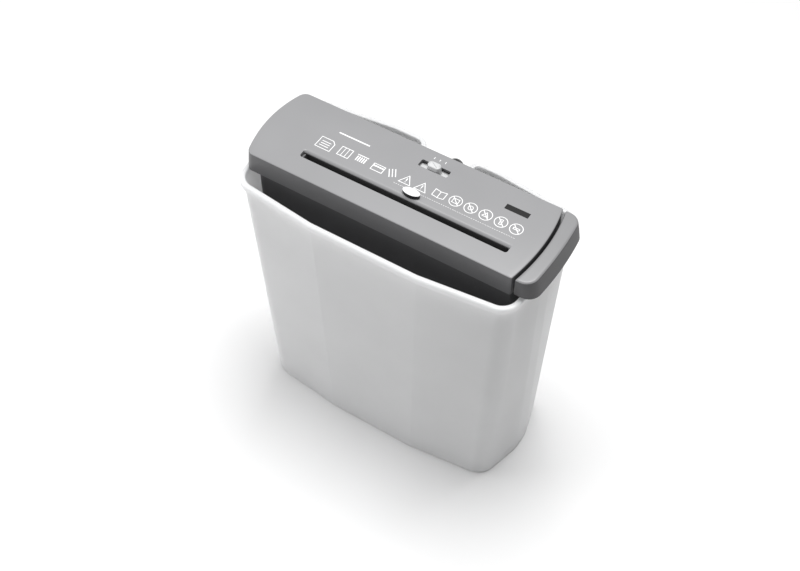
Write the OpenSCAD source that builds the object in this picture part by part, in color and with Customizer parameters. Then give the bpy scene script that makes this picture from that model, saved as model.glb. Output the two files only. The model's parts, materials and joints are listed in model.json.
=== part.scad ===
// Strip-cut paper shredder: a cutting head that stands on the rim of a tapered waste bin.
// X runs along the width (right is +X), Y from front to back, Z up. The origin is on the
// floor, under the middle of the head. Lengths are in millimetres.

/* [Bin] */
// Height of the bin's rim above the floor
rim_z = 305.3; // [304.8:0.1:305.6]
// Half depth of the bin's opening at the middle of the rim
rim_half_y = 71; // [69:0.5:74]
// Half width of the bin's opening at the middle of its ends
rim_half_x = 148.2; // [147:0.1:149]
// Width of the rim's rolled lip
lip_w = 5.3; // [4.5:0.1:6]
// Height of the rim's rolled lip
lip_h = 7; // [5:0.5:10]
// Thickness of the bin's walls and floor
bin_wall = 2; // [1.6:0.1:2.4]

/* [Head] */
// Half length of the head at the foot of its ends
head_half_x = 158.7; // [158.2:0.1:159.2]
// Front face of the head
head_front_y = -48.2; // [-48.6:0.1:-47.8]
// Back face of the head
head_back_y = 45.8; // [45.4:0.1:46.2]
// Height of the top cover's edge above the floor
top_z = 329; // [328.5:0.1:330]
// Rise of the crowned top above its edge
crown = 2; // [1.5:0.1:2.5]
// Thickness of the head's plastic shells
shell_t = 2.5; // [2.2:0.1:2.6]
// Height of the lower housing's underside above the floor
pan_z = 238; // [236:0.5:238]

/* [Feed slot] */
// Width of the paper slot
slot_w = 220; // [218:1:221]
// Middle of the slot along the head
slot_x = 9.5; // [9.3:0.1:9.7]
// Front edge of the slot
slot_front_y = -27; // [-27.2:0.1:-26.8]

/* [Cutters] */
// Diameter of a cutting disc
disc_d = 25; // [24.4:0.1:25]
// Distance between the two cutter shafts
shaft_gap = 22.5; // [22.5:0.05:22.6]
// Width of one cut strip
strip_w = 6.7; // [6.5:0.05:6.75]
// Number of discs on each shaft
disc_count = 16; // [12:1:16]

/* [Drive] */
// Diameter of the motor's can
motor_d = 40; // [38:0.5:40]
// Teeth on the motor's pinion
pinion_teeth = 10; // [10:1:10]
// Teeth on the first reduction gear
first_teeth = 60; // [60:1:60]
// Teeth on the second reduction gear
second_teeth = 44; // [44:1:44]
// Teeth on the small gear of each compound gear
small_teeth = 11; // [11:1:11]
// Teeth on the cutter drive gear
drive_teeth = 32; // [32:1:32]
// Teeth on the gears that link the two cutter shafts
sync_teeth = 20; // [20:1:20]

/* [Mains lead] */
// Diameter of the mains lead
cord_d = 6.5; // [6.3:0.1:6.6]

/* [Hidden] */
$fn = 64;
eps = 0.01;

// Bin: its middle lies a little to the left of the head's middle
bin_x = -3.7;
rim_kink_x = 57;
rim_corner = [144.7, 62.2];
rim_corner_r = 20;
base_kink_x = 49;
base_corner = [137.3, 60.5];
base_corner_r = 28;
base_half_x = 145.7;
base_half_y = 68;
wall_out = 1.8;
recess_x = 2;
recess_y = 54.3;
recess_half_x = 20.5;
recess_mouth_half_x = 48;
notch_half_x = 9;

// Head: its ends are shallow arcs, and the grip follows the cover's right-hand seam
head_mid_y = (head_front_y + head_back_y) / 2;
head_half_y = (head_back_y - head_front_y) / 2;
crown_r = (head_half_y * head_half_y + crown * crown) / (2 * crown);
end_flare = 3;
left_arc_r = 150;
seam_x = 140.5;
seam_arc_r = 185;
seam_gap = 2.5;
grip_arc_r = 325;
head_corner_r = 11;
grip_corner_r = 12;
ledge_z = rim_z + 0.3;
parting_z = ledge_z - 0.1;
ledge_t = 2.4;
pan_inset = 1.5;
pan_left_x = -145.5;
pan_corner_r = 9;
pan_left_r = 150;
cover_posts = [[-134, -36], [-134, 34], [128.8, 33]];
post_r = 4;
post_socket_r = 4.6;
post_head_r = 3.7;
outlet_x = [-92, 110];
outlet_y = [-38, 4];

// Slide switch and indicator lens
knob_x = 11.5;
knob_y = 26;
knob_travel = 6;
knob_size = [13.5, 8];
window_size = [31, 9];
plate_size = [46, 12, 1.2];
plate_z = 326;
switch_z = [312, 323.5];
lens_x = 13.5;
lens_cap_x = 10.9;
lens_y = -11.6;
lens_half = [9, 4.4];
lens_top_z = 334.2;
led_hole_r = 3;

// Throat that leads the paper from the slot to the cutters
nip_y = -17.5;
throat_top_z = 327.2;
throat_foot_z = 286;
throat_front = [slot_front_y, nip_y - 2.8];
throat_back = [slot_front_y + 8.2, nip_y + 2.8];
throat_t = 1.8;

// Cutting block
shaft_z = 270;
front_pos = [nip_y - shaft_gap / 2, shaft_z];
rear_pos = [nip_y + shaft_gap / 2, shaft_z];
left_plate_x = -106;
right_plate_x = 122;
plate_t = 2;
plate_foot_z = pan_z + shell_t + 0.1;
disc_pitch = 13.8;
first_disc_x = -101;
hex_r = 6;
hex_fit = 0.05;
spacer_r = 8.5;
journal_r = 4;
running_fit = 0.05;
shaft_right_x = 133;
tie_rod_r = 3;
tie_rod_at = [[-36, 252.5], [2, 252.5], [-36.5, 289], [0.5, 288]];
comb_half_h = 11;
comb_t = 1.7;
comb_fit = 0.6;

// Gear train: motor pinion, first gear, second gear, cutter drive gear
first_module = 0.65;
second_module = 0.95;
drive_module = 1.4;
sync_module = shaft_gap / sync_teeth;
motor_pos = [21, 301];
first_centre_d = first_module * (pinion_teeth + first_teeth) / 2;
second_centre_d = second_module * (small_teeth + second_teeth) / 2;
drive_centre_d = drive_module * (small_teeth + drive_teeth) / 2;
first_turn = -93;
first_pos = motor_pos + first_centre_d * [cos(first_turn), sin(first_turn)];
base_d = norm(first_pos - rear_pos);
base_dir = (first_pos - rear_pos) / base_d;
along_d = (drive_centre_d * drive_centre_d - second_centre_d * second_centre_d
    + base_d * base_d) / (2 * base_d);
across_d = sqrt(drive_centre_d * drive_centre_d - along_d * along_d);
second_pos = rear_pos + along_d * base_dir + across_d * [-base_dir[1], base_dir[0]];
gear_w = 5.5;
drive_layer_x = -114.5;
first_layer_x = -121.5;
second_layer_x = -128;
gear_plate_x = -131;
pin_r = 2;
hub_r = 3.1;
sync_x = 126;

// Motor
motor_x = left_plate_x + plate_t;
motor_len = 58;
end_cap_len = 7;
can_t = 1.5;
motor_shaft_r = 2;
motor_boss_r = 7;
motor_screw_at = 14.5;

// Circuit board
board_x = [42, 118];
board_y = [13, 41];
board_z = 292;
board_t = 1.6;
board_edge = 4.5;

// Interlock plunger and paper sensor
plunger_at = [-152.6, -12];
plunger_r = 1.8;
lever_x = 3;
lever_at = [-9, 306];
lever_w = 2.4;
axle_r = 1.5;
spring_wire_r = 0.3;
spring_r = 2.4;
spring_turns = 4;

// Mains lead: a bent boot leaves the back of the cover and points down into the bin's recess
boot_x = 16;
boot_z = 313;
boot_r = 7;
boot_bend_r = 15;
boot_y = head_back_y + 1 + boot_bend_r;
boot_end_z = 266;
clamp_y = 36.2;
cord_r = cord_d / 2;
coil_outer_turn_r = 45.5;
coil_inner_turn_r = coil_outer_turn_r - 3 * cord_d;
coil_x = boot_x - coil_outer_turn_r;
coil_y = 127;
coil_h = 2 * cord_d + 0.1;
cord_route = [
    [16, 61.8, 266], [16, 61.8, 250], [16, 61.8, 234], [16, 61.8, 218], [16, 61.8, 202],
    [16, 61.8, 186], [16, 61.8, 170], [16, 61.8, 154], [16, 61.8, 138], [16, 61.8, 122],
    [16, 61.8, 106], [16, 61.9, 90], [16, 62.4, 75], [16, 63.9, 60], [16, 67, 46],
    [16, 72, 33], [16, 79, 21.5], [16, 88, 12.3], [16, 99, 6.2], [16, 112, 3.3], [16, 127, 3.3]
];
plug_route = [
    [-29.5, 169, 9.8], [-42, 170.4, 9.8], [-54, 171.4, 9.5], [-66, 172, 8.6], [-78, 172.2, 7.6],
    [-87, 172.2, 7.1], [-96, 172.2, 7]
];
plug_z = 7;
plug_size = [36, 26, 13.6];
plug_pin_r = 2;
plug_pin_len = 19;

// ---- shared shapes ----

// Turns a profile in (Y, Z) into a bar along X
module along_x(x0, len) translate([x0, 0, 0]) rotate([90, 0, 90]) linear_extrude(len) children();

module rod_x(x0, len, pos, r) along_x(x0, len) translate(pos) circle(r = r);

module box(low, high) translate(low) cube(high - low);

// Screw with a cross-slotted head at its foot and its shank pointing up
module screw_up(shank_r, shank_h, head_r, head_h) {
    cylinder(h = shank_h, r = shank_r, $fn = 32);
    translate([0, 0, -head_h]) difference() {
        cylinder(h = head_h, r = head_r, $fn = 32);
        for (turn = [0, 90]) rotate([0, 0, turn]) translate([-head_r * 0.6, -0.4, -1]) {
            cube([head_r * 1.2, 0.8, 1 + head_h * 0.5]);
        }
    }
}

// Points of an arc about [cx, cy], in equal steps
function arc(cx, cy, r, a0, a1, steps) = [
    for (i = [0:steps]) let (a = a0 + (a1 - a0) * i / steps) [cx + r * cos(a), cy + r * sin(a)]
];

// Rounding of a corner, or nothing where the corner is sharp
function corner_arc(cx, cy, r, a0, a1) = r > 0 ? arc(cx, cy, r, a0, a1, 10) : [];

// One bowed end of the head, from its front corner round to its back corner, as seen at +X
function bowed_end(x, bow_r, half_y, corner) =
    let (cx = x - bow_r, beta = asin((half_y - corner) / (bow_r - corner)),
        fx = cx + (bow_r - corner) * cos(beta), fy = half_y - corner)
    let (reach = corner > 0 ? 0.95 * beta : beta)
    concat(corner_arc(fx, -fy, corner, -90, -beta), arc(cx, 0, bow_r, -reach, reach, 20),
        corner_arc(fx, fy, corner, beta, 90));

function turned(points) = [for (p = points) [-p[0], -p[1]]];

// Plan of the head between a left-hand and a right-hand bowed end
module head_plan(left_x, left_r, left_corner, right_x, right_r, right_corner, inset) {
    translate([0, head_mid_y]) polygon(concat(
        bowed_end(right_x - inset, right_r - inset, head_half_y - inset, max(right_corner - inset, 0)),
        turned(bowed_end(-left_x - inset, left_r - inset, head_half_y - inset, max(left_corner - inset, 0)))
    ));
}

// Everything below the crowned top surface, lowered by drop
module crown_block(z0, drop) {
    along_x(-180, 360) intersection() {
        translate([head_mid_y, top_z + crown - crown_r]) circle(r = crown_r - drop, $fn = 256);
        translate([-100, z0]) square([200, 100]);
    }
}

// Spur gear outline: straight-flanked teeth, narrow enough to turn freely in mesh
function tooth_points(teeth, mod, phase) = [
    for (i = [0:teeth - 1]) for (corner = [[-0.26, -1.25], [-0.11, 0.85], [0.11, 0.85], [0.26, -1.25]])
        let (a = phase + (i + corner[0]) * 360 / teeth, r = mod * (teeth / 2 + corner[1]))
            [r * cos(a), r * sin(a)]
];

module gear(x0, width, pos, teeth, mod, phase, bore_r) {
    along_x(x0, width) translate(pos) difference() {
        polygon(tooth_points(teeth, mod, phase));
        circle(r = bore_r);
    }
}

// Phase that drops gear B's teeth between gear A's, when B lies in direction dir from A
function mesh_phase(dir, phase_a, teeth_a, teeth_b) =
    dir + 180 - (0.5 - (dir - phase_a) * teeth_a / 360) * 360 / teeth_b;
function heading(from, to) = atan2(to[1] - from[1], to[0] - from[0]);

first_phase = mesh_phase(heading(motor_pos, first_pos), 0, pinion_teeth, first_teeth);
second_phase = mesh_phase(heading(first_pos, second_pos), 0, small_teeth, second_teeth);
drive_phase = mesh_phase(heading(second_pos, rear_pos), 0, small_teeth, drive_teeth);
sync_phase = mesh_phase(180, 0, sync_teeth, sync_teeth);

// Round tube swept through route, with a given number of sides; up is never along the route
function unit(v) = v / norm(v);
function route_dir(route, i) = unit(route[min(i + 1, len(route) - 1)] - route[max(i - 1, 0)]);
function ring(p, dir, up, r, sides) =
    let (u = unit(cross(up, dir)), v = cross(dir, u))
        [for (k = [0:sides - 1]) let (a = k * 360 / sides) p + r * (cos(a) * u + sin(a) * v)];

module tube(route, up, r, sides = 10) {
    last = len(route) - 1;
    points = [for (i = [0:last]) each ring(route[i], route_dir(route, i), up, r, sides)];
    polyhedron(points, concat(
        [[for (k = [0:sides - 1]) sides - 1 - k]],
        [for (i = [0:last - 1]) for (k = [0:sides - 1])
            let (a = i * sides, b = a + sides, n = (k + 1) % sides)
                each [[a + k, a + n, b + n], [a + k, b + n, b + k]]],
        [[for (k = [0:sides - 1]) last * sides + k]]
    ));
}

// ---- bin ----

// Bin outline: a flat middle facet, angled side facets, rounded corners and bowed ends
module bin_outline(kink_x, half_y, corner, corner_r, half_x, grow) {
    hull() {
        translate([-kink_x, -half_y - grow]) square([2 * kink_x, 2 * (half_y + grow)]);
        translate([-half_x - grow, -10]) square([2 * (half_x + grow), 20]);
        for (x = [-1, 1]) for (y = [-1, 1]) {
            translate([x * (corner[0] - corner_r), y * (corner[1] - corner_r)]) {
                circle(r = corner_r + grow, $fn = 48);
            }
        }
    }
}

module rim_outline(grow) {
    bin_outline(rim_kink_x, rim_half_y, rim_corner, rim_corner_r, rim_half_x, grow);
}

module base_outline(grow) {
    bin_outline(base_kink_x, base_half_y, base_corner, base_corner_r, base_half_x, grow);
}

// Plan of the recess that the mains lead hangs in, grown towards the inside of the bin
module recess_outline(grow) {
    translate([recess_x - bin_x, 0]) polygon([
        [-recess_half_x - grow, recess_y - grow], [recess_half_x + grow, recess_y - grow],
        [recess_half_x + 2 + grow, recess_y + 12 - grow / 2], [recess_half_x + 6 + grow, 71.5],
        [recess_half_x + 14 + grow, 77], [recess_mouth_half_x + grow, 90],
        [-recess_mouth_half_x - grow, 90], [-recess_half_x - 14 - grow, 77],
        [-recess_half_x - 6 - grow, 71.5], [-recess_half_x - 2 - grow, recess_y + 12 - grow / 2]
    ]);
}

module waste_bin() color("gainsboro") translate([bin_x, 0, 0]) difference() {
    union() {
        hull() {
            linear_extrude(1) base_outline(-2);
            translate([0, 0, 3]) linear_extrude(1) base_outline(0);
            translate([0, 0, rim_z - 2]) linear_extrude(1) rim_outline(wall_out);
        }
        translate([0, 0, rim_z - lip_h]) linear_extrude(lip_h) rim_outline(lip_w);
    }
    difference() {
        hull() {
            translate([0, 0, bin_wall]) linear_extrude(1) base_outline(-bin_wall - 1.5);
            translate([0, 0, bin_wall + 4]) linear_extrude(1) base_outline(-bin_wall);
            translate([0, 0, rim_z - 1]) linear_extrude(2) rim_outline(0);
        }
        linear_extrude(rim_z + 2) recess_outline(lip_w);
    }
    translate([0, 0, -1]) linear_extrude(rim_z + 2) recess_outline(0);
    translate([0, 0, -1]) linear_extrude(rim_z - lip_h + 1) recess_outline(lip_w - bin_wall);
    // Notch in the recess wall under the lead's boot
    translate([boot_x - bin_x, 0, 0]) {
        box([-notch_half_x, recess_y - lip_w + bin_wall, rim_z - lip_h - 1], [notch_half_x, 60, rim_z + 1]);
        box([-notch_half_x, 40, rim_z - 3], [notch_half_x, 60, rim_z + 1]);
    }
}

// ---- head shells ----

// Solid cover: its left end is a cone, so that it flares towards the foot. An inset one is
// its hollow.
module cover_block(inset) {
    flare = end_flare / (top_z - ledge_z);
    low_z = parting_z - inset;
    high_z = top_z + crown + 1;
    intersection() {
        translate([0, 0, low_z]) linear_extrude(high_z - low_z) {
            head_plan(-head_half_x, left_arc_r, head_corner_r, seam_x, seam_arc_r, 0, inset);
        }
        union() {
            translate([left_arc_r - head_half_x, head_mid_y, low_z]) cylinder(
                h = high_z - low_z, r1 = left_arc_r - inset + flare * (ledge_z - low_z),
                r2 = left_arc_r - inset - flare * (high_z - ledge_z), $fn = 256);
            box([0, -100, low_z], [200, 100, high_z]);
        }
        crown_block(low_z, inset);
    }
}

module oval(half, steps = 40) {
    polygon([for (i = [0:steps - 1]) let (a = i * 360 / steps) [half[0] * cos(a), half[1] * sin(a)]]);
}

module top_cover() color("darkgray") {
    difference() {
        cover_block(0);
        cover_block(shell_t);
        // Foot of the left end clears the rim, and the seam wall lets the ledge through
        box([-170, -70, parting_z - 1], [pan_left_x - 0.5, 70, ledge_z]);
        box([seam_x - 15, -37, parting_z - 1], [seam_x + 5, 35, ledge_z + ledge_t + 0.4]);
        // Paper slot with a soft lead-in behind it
        along_x(slot_x - slot_w / 2, slot_w) polygon([
            [slot_front_y, top_z - 12], [slot_front_y, top_z + 5], [slot_front_y + 14, top_z + 5],
            [slot_front_y + 14, top_z + 1.6], [slot_front_y + 11, top_z + 0.6],
            [slot_front_y + 9, top_z - 1], [slot_front_y + 8.2, top_z - 3], [slot_front_y + 8.2, top_z - 12]
        ]);
        translate([knob_x - window_size[0] / 2, knob_y - window_size[1] / 2, top_z - 10]) {
            cube([window_size[0], window_size[1], 20]);
        }
        translate([lens_x, lens_y, top_z - 10]) cylinder(h = 20, r = led_hole_r);
        translate([boot_x, 0, boot_z]) rotate([-90, 0, 0]) cylinder(h = 60, r = boot_r - 1.5);
    }
    for (post = cover_posts) {
        translate([post[0], post[1], pan_z + 22]) difference() {
            cylinder(h = top_z - pan_z - 22, r = post_r);
            translate([0, 0, -1]) cylinder(h = 22, r = 1.3);
        }
    }
    for (x = [-9, 9]) translate([boot_x + x, clamp_y, boot_z + cord_r - 0.3]) difference() {
        cylinder(h = top_z - boot_z - cord_r, r = 3);
        translate([0, 0, -1]) cylinder(h = 9, r = 1.55);
    }
    for (x = [board_x[0] + board_edge, board_x[1] - board_edge]) {
        for (y = [board_y[0] + board_edge, board_y[1] - board_edge]) {
            translate([x, y, board_z + board_t]) difference() {
                cylinder(h = top_z - board_z - board_t, r = 3);
                translate([0, 0, -1]) cylinder(h = 11, r = 1.1);
            }
        }
    }
}

module pan_plan(inset) {
    head_plan(pan_left_x - pan_inset, pan_left_r, pan_corner_r, seam_x, seam_arc_r, 0, pan_inset + inset);
}

module lower_housing() color("dimgray") {
    difference() {
        union() {
            difference() {
                translate([0, 0, pan_z]) linear_extrude(parting_z - 0.1 - pan_z) pan_plan(0);
                translate([0, 0, pan_z + shell_t]) linear_extrude(90) pan_plan(shell_t);
            }
            for (post = cover_posts) translate([post[0], post[1], pan_z]) {
                cylinder(h = 21.9, r = post_socket_r);
            }
        }
        box([outlet_x[0], outlet_y[0], pan_z - 1], [outlet_x[1], outlet_y[1], pan_z + 10]);
        for (post = cover_posts) {
            translate([post[0], post[1], pan_z - 1]) cylinder(h = 40, r = 2.1);
            translate([post[0], post[1], pan_z - 1]) cylinder(h = 4, r = post_head_r);
        }
        for (x = [left_plate_x + 7, right_plate_x + plate_t - 7]) for (y = [-30, 30]) {
            translate([x, y, pan_z - 1]) cylinder(h = 10, r = 2.1);
        }
    }
    // Ledges that carry the head on the bin's rim
    difference() {
        union() {
            translate([0, 0, ledge_z]) linear_extrude(ledge_t) intersection() {
                head_plan(-head_half_x, left_arc_r, head_corner_r, seam_x, seam_arc_r, 0,
                    shell_t + 0.4);
                translate([-200, -32]) square([200 + pan_left_x + shell_t, 62]);
            }
            box([pan_left_x + 0.6, -32, parting_z - 4],
                [pan_left_x + shell_t, 30, ledge_z + ledge_t]);
        }
        translate([plunger_at[0], plunger_at[1], ledge_z - 1]) {
            cylinder(h = 10, r = plunger_r + running_fit);
        }
    }
    box([seam_x - 4.5, -32, ledge_z], [seam_x + 9.5, 30, ledge_z + ledge_t]);
    box([seam_x - 4.5, -32, parting_z - 6], [seam_x - 4.5 + shell_t, 30, ledge_z + ledge_t]);
}

function grip_end_x(z) = head_half_x - (end_flare - 0.5) * (z - ledge_z) / (top_z - ledge_z);

module grip_block(inset, z0, z1) {
    difference() {
        hull() {
            for (z = [z0, z1]) translate([0, 0, z]) linear_extrude(eps) {
                head_plan(seam_x - 40, seam_arc_r, 0, grip_end_x(z), grip_arc_r, grip_corner_r, inset);
            }
        }
        translate([seam_x - seam_arc_r, head_mid_y, z0 - 5]) {
            cylinder(h = z1 - z0 + 10, r = seam_arc_r + seam_gap + inset, $fn = 256);
        }
    }
}

module end_grip() color("gray") intersection() {
    difference() {
        grip_block(0, ledge_z + ledge_t + 0.1, top_z + crown + 1);
        difference() {
            grip_block(shell_t, ledge_z - 2, top_z - shell_t);
            box([seam_x - 20, -70, top_z - shell_t - 1], [170, 70, top_z + 5]);
        }
    }
    crown_block(ledge_z - 2, 0);
}

module throat_wall(y_top, y_foot, side) {
    along_x(slot_x - slot_w / 2, slot_w) polygon([
        [y_top, throat_top_z], [y_foot, throat_foot_z],
        [y_foot + side * throat_t, throat_foot_z], [y_top + side * throat_t, throat_top_z]
    ]);
}

module throat_guide() color("black") difference() {
    union() {
        throat_wall(throat_front[0], throat_front[1], -1);
        throat_wall(throat_back[0], throat_back[1], 1);
        for (x = [slot_x - slot_w / 2 - 2, slot_x + slot_w / 2]) along_x(x, 2) polygon([
            [throat_front[0] - throat_t, throat_top_z], [throat_front[1] - throat_t, throat_foot_z],
            [throat_back[1] + throat_t, throat_foot_z], [throat_back[0] + throat_t, throat_top_z]
        ]);
        for (x = [lever_x - 6, lever_x + 7]) along_x(x, 2) polygon([
            [throat_back[1], lever_at[1] - 6], [lever_at[0] + 3.5, lever_at[1] - 4],
            [lever_at[0] + 3.5, lever_at[1] + 4], [throat_back[0] + 2.5, lever_at[1] + 6]
        ]);
    }
    box([lever_x - 2.2, throat_back[0] - 1, 289], [lever_x + 2.2, throat_back[1] + 4, lever_at[1] + 5]);
    rod_x(lever_x - 10, 20, lever_at, axle_r);
}

module indicator_lens() color("white") {
    lens_h = lens_top_z - top_z - crown;
    translate([lens_cap_x, lens_y, top_z + crown]) {
        linear_extrude(lens_h - 1.2) oval(lens_half);
        linear_extrude(lens_h - 0.5) oval(lens_half * 0.92);
        linear_extrude(lens_h) oval(lens_half * 0.72);
    }
    translate([lens_x, lens_y, top_z - 5]) cylinder(h = 7, r = led_hole_r - 0.1);
}

module mode_knob() color("white") translate([knob_x, knob_y, 0]) {
    translate([-plate_size[0] / 2, -plate_size[1] / 2, plate_z]) cube(plate_size);
    half = knob_size / 2;
    translate([0, 0, plate_z]) linear_extrude(8.4) {
        polygon([[-half[0], -half[1] + 2.2], [-half[0] + 2, -half[1]], [half[0] - 2, -half[1]],
            [half[0], -half[1] + 2.2], [half[0], half[1] - 2.2], [half[0] - 2, half[1]],
            [-half[0] + 2, half[1]], [-half[0], half[1] - 2.2]]);
    }
    translate([0, 0, plate_z + 8.4]) linear_extrude(0.8) {
        square([knob_size[0] - 3.4, knob_size[1] - 2.6], center = true);
    }
    translate([-1.4, -1.4, plate_z - 4.5]) cube([2.8, 2.8, 5]);
}

module mode_switch() color("black") translate([knob_x, knob_y, 0]) difference() {
    union() {
        box([-15, -6, switch_z[0]], [15, 6, switch_z[1]]);
        for (x = [-9, -3, 3, 9]) box([x - 0.4, -1.2, switch_z[0] - 5], [x + 0.4, 1.2, switch_z[0] + 1]);
    }
    box([-1.8 - knob_travel, -1.8, switch_z[1] - 4], [1.8 + knob_travel, 1.8, switch_z[1] + 1]);
}

module cover_screws() color("silver") {
    for (post = cover_posts) translate([post[0], post[1], pan_z + 3]) screw_up(1.25, 38, 3.5, 2);
}

// ---- cutting block ----

module frame_plate(x, flange_side, profile_y, profile_z) {
    difference() {
        union() {
            along_x(x, plate_t) translate([profile_y[0], profile_z[0]]) {
                square([profile_y[1] - profile_y[0], profile_z[1] - profile_z[0]]);
            }
            for (y = [-30, 30]) {
                low_x = flange_side > 0 ? x : x - 10;
                box([low_x, y - 6, profile_z[0]], [low_x + 10 + plate_t, y + 6, profile_z[0] + plate_t]);
            }
        }
        for (pos = [front_pos, rear_pos]) rod_x(x - 1, plate_t + 2, pos, 6.5);
        for (pos = tie_rod_at) rod_x(x - 1, plate_t + 2, pos, 2.05);
        for (y = [-30, 30]) {
            translate([x + plate_t / 2 + flange_side * 6, y, profile_z[0] - 1]) cylinder(h = 5, r = 1.6);
        }
    }
}

module left_frame_plate() color("silver") difference() {
    frame_plate(left_plate_x, 1, [-43.5, 41.3], [plate_foot_z, 322]);
    rod_x(left_plate_x - 1, 4, motor_pos, motor_boss_r);
    for (side = [-1, 1]) rod_x(left_plate_x - 1, 4, motor_pos + [0, side * motor_screw_at], 2.1);
    for (pos = [first_pos, second_pos]) rod_x(left_plate_x - 1, 4, pos, pin_r);
}

module right_frame_plate() color("silver") {
    frame_plate(right_plate_x, -1, [-43.5, 36.5], [plate_foot_z, 298]);
}

module frame_screws() color("silver") {
    for (x = [left_plate_x + 7, right_plate_x + plate_t - 7]) for (y = [-30, 30]) {
        translate([x, y, pan_z]) screw_up(1.55, 8, 3.5, 1.8);
    }
}

module tie_rods() color("silver") {
    for (pos = tie_rod_at) {
        rod_x(left_plate_x + plate_t, right_plate_x - left_plate_x - plate_t, pos, tie_rod_r);
        rod_x(left_plate_x - 2.6, right_plate_x - left_plate_x + plate_t + 5.2, pos, 2);
    }
}

module tie_rod_nuts() color("gray") {
    for (pos = tie_rod_at) for (x = [left_plate_x - 2.4, right_plate_x + plate_t]) {
        along_x(x, 2.4) translate(pos) difference() {
            circle(r = 3.8, $fn = 6);
            circle(r = 2.02);
        }
    }
}

module bushing(x, flange_x, pos) {
    along_x(x, plate_t) translate(pos) difference() {
        circle(r = 6.45);
        circle(r = journal_r + running_fit);
    }
    along_x(flange_x, 1) translate(pos) difference() {
        circle(r = 7.8);
        circle(r = journal_r + running_fit);
    }
}

module shaft_bushings() color("goldenrod") {
    for (pos = [front_pos, rear_pos]) {
        bushing(left_plate_x, left_plate_x - 1, pos);
        bushing(right_plate_x, right_plate_x + plate_t, pos);
    }
}

module cutter_shaft(pos, left_end) {
    along_x(left_plate_x + plate_t + 0.6, right_plate_x - left_plate_x - plate_t - 1.2) {
        translate(pos) circle(r = hex_r, $fn = 6);
    }
    rod_x(left_end, shaft_right_x - left_end, pos, journal_r);
}

module front_cutter_shaft() color("silver") cutter_shaft(front_pos, left_plate_x - 2);
module rear_cutter_shaft() color("silver") cutter_shaft(rear_pos, gear_plate_x - 1.5);

// Cutting discs with notched edges, or the plain spacers between them
module disc_row(pos, x0, r) {
    notches = 20;
    for (i = [0:disc_count - 1]) along_x(x0 + i * disc_pitch, strip_w) translate(pos) difference() {
        polygon([
            for (k = [0:notches - 1]) each arc(0, 0, r, k * 360 / notches, (k + 0.8) * 360 / notches, 2)
        ]);
        circle(r = hex_r + hex_fit, $fn = 6);
    }
}

module spacer_row(pos, x0) {
    for (i = [0:disc_count - 1]) along_x(x0 + i * disc_pitch, disc_pitch - strip_w) translate(pos) {
        difference() {
            circle(r = spacer_r);
            circle(r = hex_r + hex_fit, $fn = 6);
        }
    }
}

rear_disc_x = first_disc_x + disc_pitch / 2;
module front_cutter_discs() color("slategray") disc_row(front_pos, first_disc_x, disc_d / 2);
module rear_cutter_discs() color("slategray") disc_row(rear_pos, rear_disc_x, disc_d / 2);
module front_spacers() color("dimgray") spacer_row(front_pos, first_disc_x + strip_w);
module rear_spacers() color("dimgray") spacer_row(rear_pos, rear_disc_x + strip_w - disc_pitch);

// Comb whose fingers reach round the spacers and keep strips off the discs
module stripper_comb(pos, x0, side) {
    bar_y = pos[0] + side * (disc_d / 2 + 0.7);
    finger_w = disc_pitch - strip_w - 1.6;
    along_x(left_plate_x + plate_t + 0.4, right_plate_x - left_plate_x - plate_t - 0.8) {
        translate([min(bar_y, bar_y + side * comb_t), shaft_z - comb_half_h]) {
            square([comb_t, 2 * comb_half_h]);
        }
    }
    for (i = [0:disc_count - 1]) along_x(x0 + i * disc_pitch + 0.8, finger_w) difference() {
        translate([min(pos[0] + side * 1.5, bar_y + side), shaft_z - comb_half_h]) {
            square([abs(bar_y + side - pos[0] - side * 1.5), 2 * comb_half_h]);
        }
        translate(pos) circle(r = spacer_r + comb_fit);
    }
}

module front_stripper_comb() color("ivory") stripper_comb(front_pos, first_disc_x + strip_w, -1);
module rear_stripper_comb() color("ivory") stripper_comb(rear_pos, rear_disc_x + strip_w - disc_pitch, 1);

// ---- gears ----

module front_sync_gear() color("dimgray") {
    gear(sync_x, 6, front_pos, sync_teeth, sync_module, sync_phase, journal_r);
}

module rear_sync_gear() color("dimgray") {
    gear(sync_x, 6, rear_pos, sync_teeth, sync_module, 0, journal_r);
}

module cutter_drive_gear() color("dimgray") {
    gear(drive_layer_x, gear_w, rear_pos, drive_teeth, drive_module, drive_phase, journal_r);
}

module second_reduction_gear() color("ivory") {
    gear(second_layer_x, gear_w, second_pos, second_teeth, second_module, second_phase,
        pin_r + running_fit);
    gear(drive_layer_x, gear_w, second_pos, small_teeth, drive_module, 0, pin_r + running_fit);
    along_x(second_layer_x + gear_w, drive_layer_x - second_layer_x - gear_w) translate(second_pos) {
        difference() {
            circle(r = 5);
            circle(r = pin_r + running_fit);
        }
    }
}

module first_reduction_gear() color("ivory") {
    gear(first_layer_x, gear_w, first_pos, first_teeth, first_module, first_phase, pin_r + running_fit);
    gear(second_layer_x, first_layer_x - second_layer_x, first_pos, small_teeth, second_module, 0,
        pin_r + running_fit);
    along_x(first_layer_x + gear_w, 6) translate(first_pos) difference() {
        circle(r = hub_r);
        circle(r = pin_r + running_fit);
    }
}

module motor_pinion() color("goldenrod") {
    gear(first_layer_x, gear_w, motor_pos, pinion_teeth, first_module, 0, motor_shaft_r);
}

module gear_pins() color("silver") {
    for (pos = [first_pos, second_pos]) {
        rod_x(gear_plate_x, left_plate_x + plate_t - gear_plate_x, pos, pin_r);
    }
}

module gear_cover_plate() color("silver") difference() {
    along_x(gear_plate_x, 2) hull() {
        for (pos = [rear_pos, first_pos, second_pos]) translate(pos) circle(r = 9, $fn = 32);
    }
    for (pos = [first_pos, second_pos]) rod_x(gear_plate_x - 1, 4, pos, pin_r);
    rod_x(gear_plate_x - 1, 4, rear_pos, journal_r + running_fit);
}

// ---- motor ----

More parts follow.
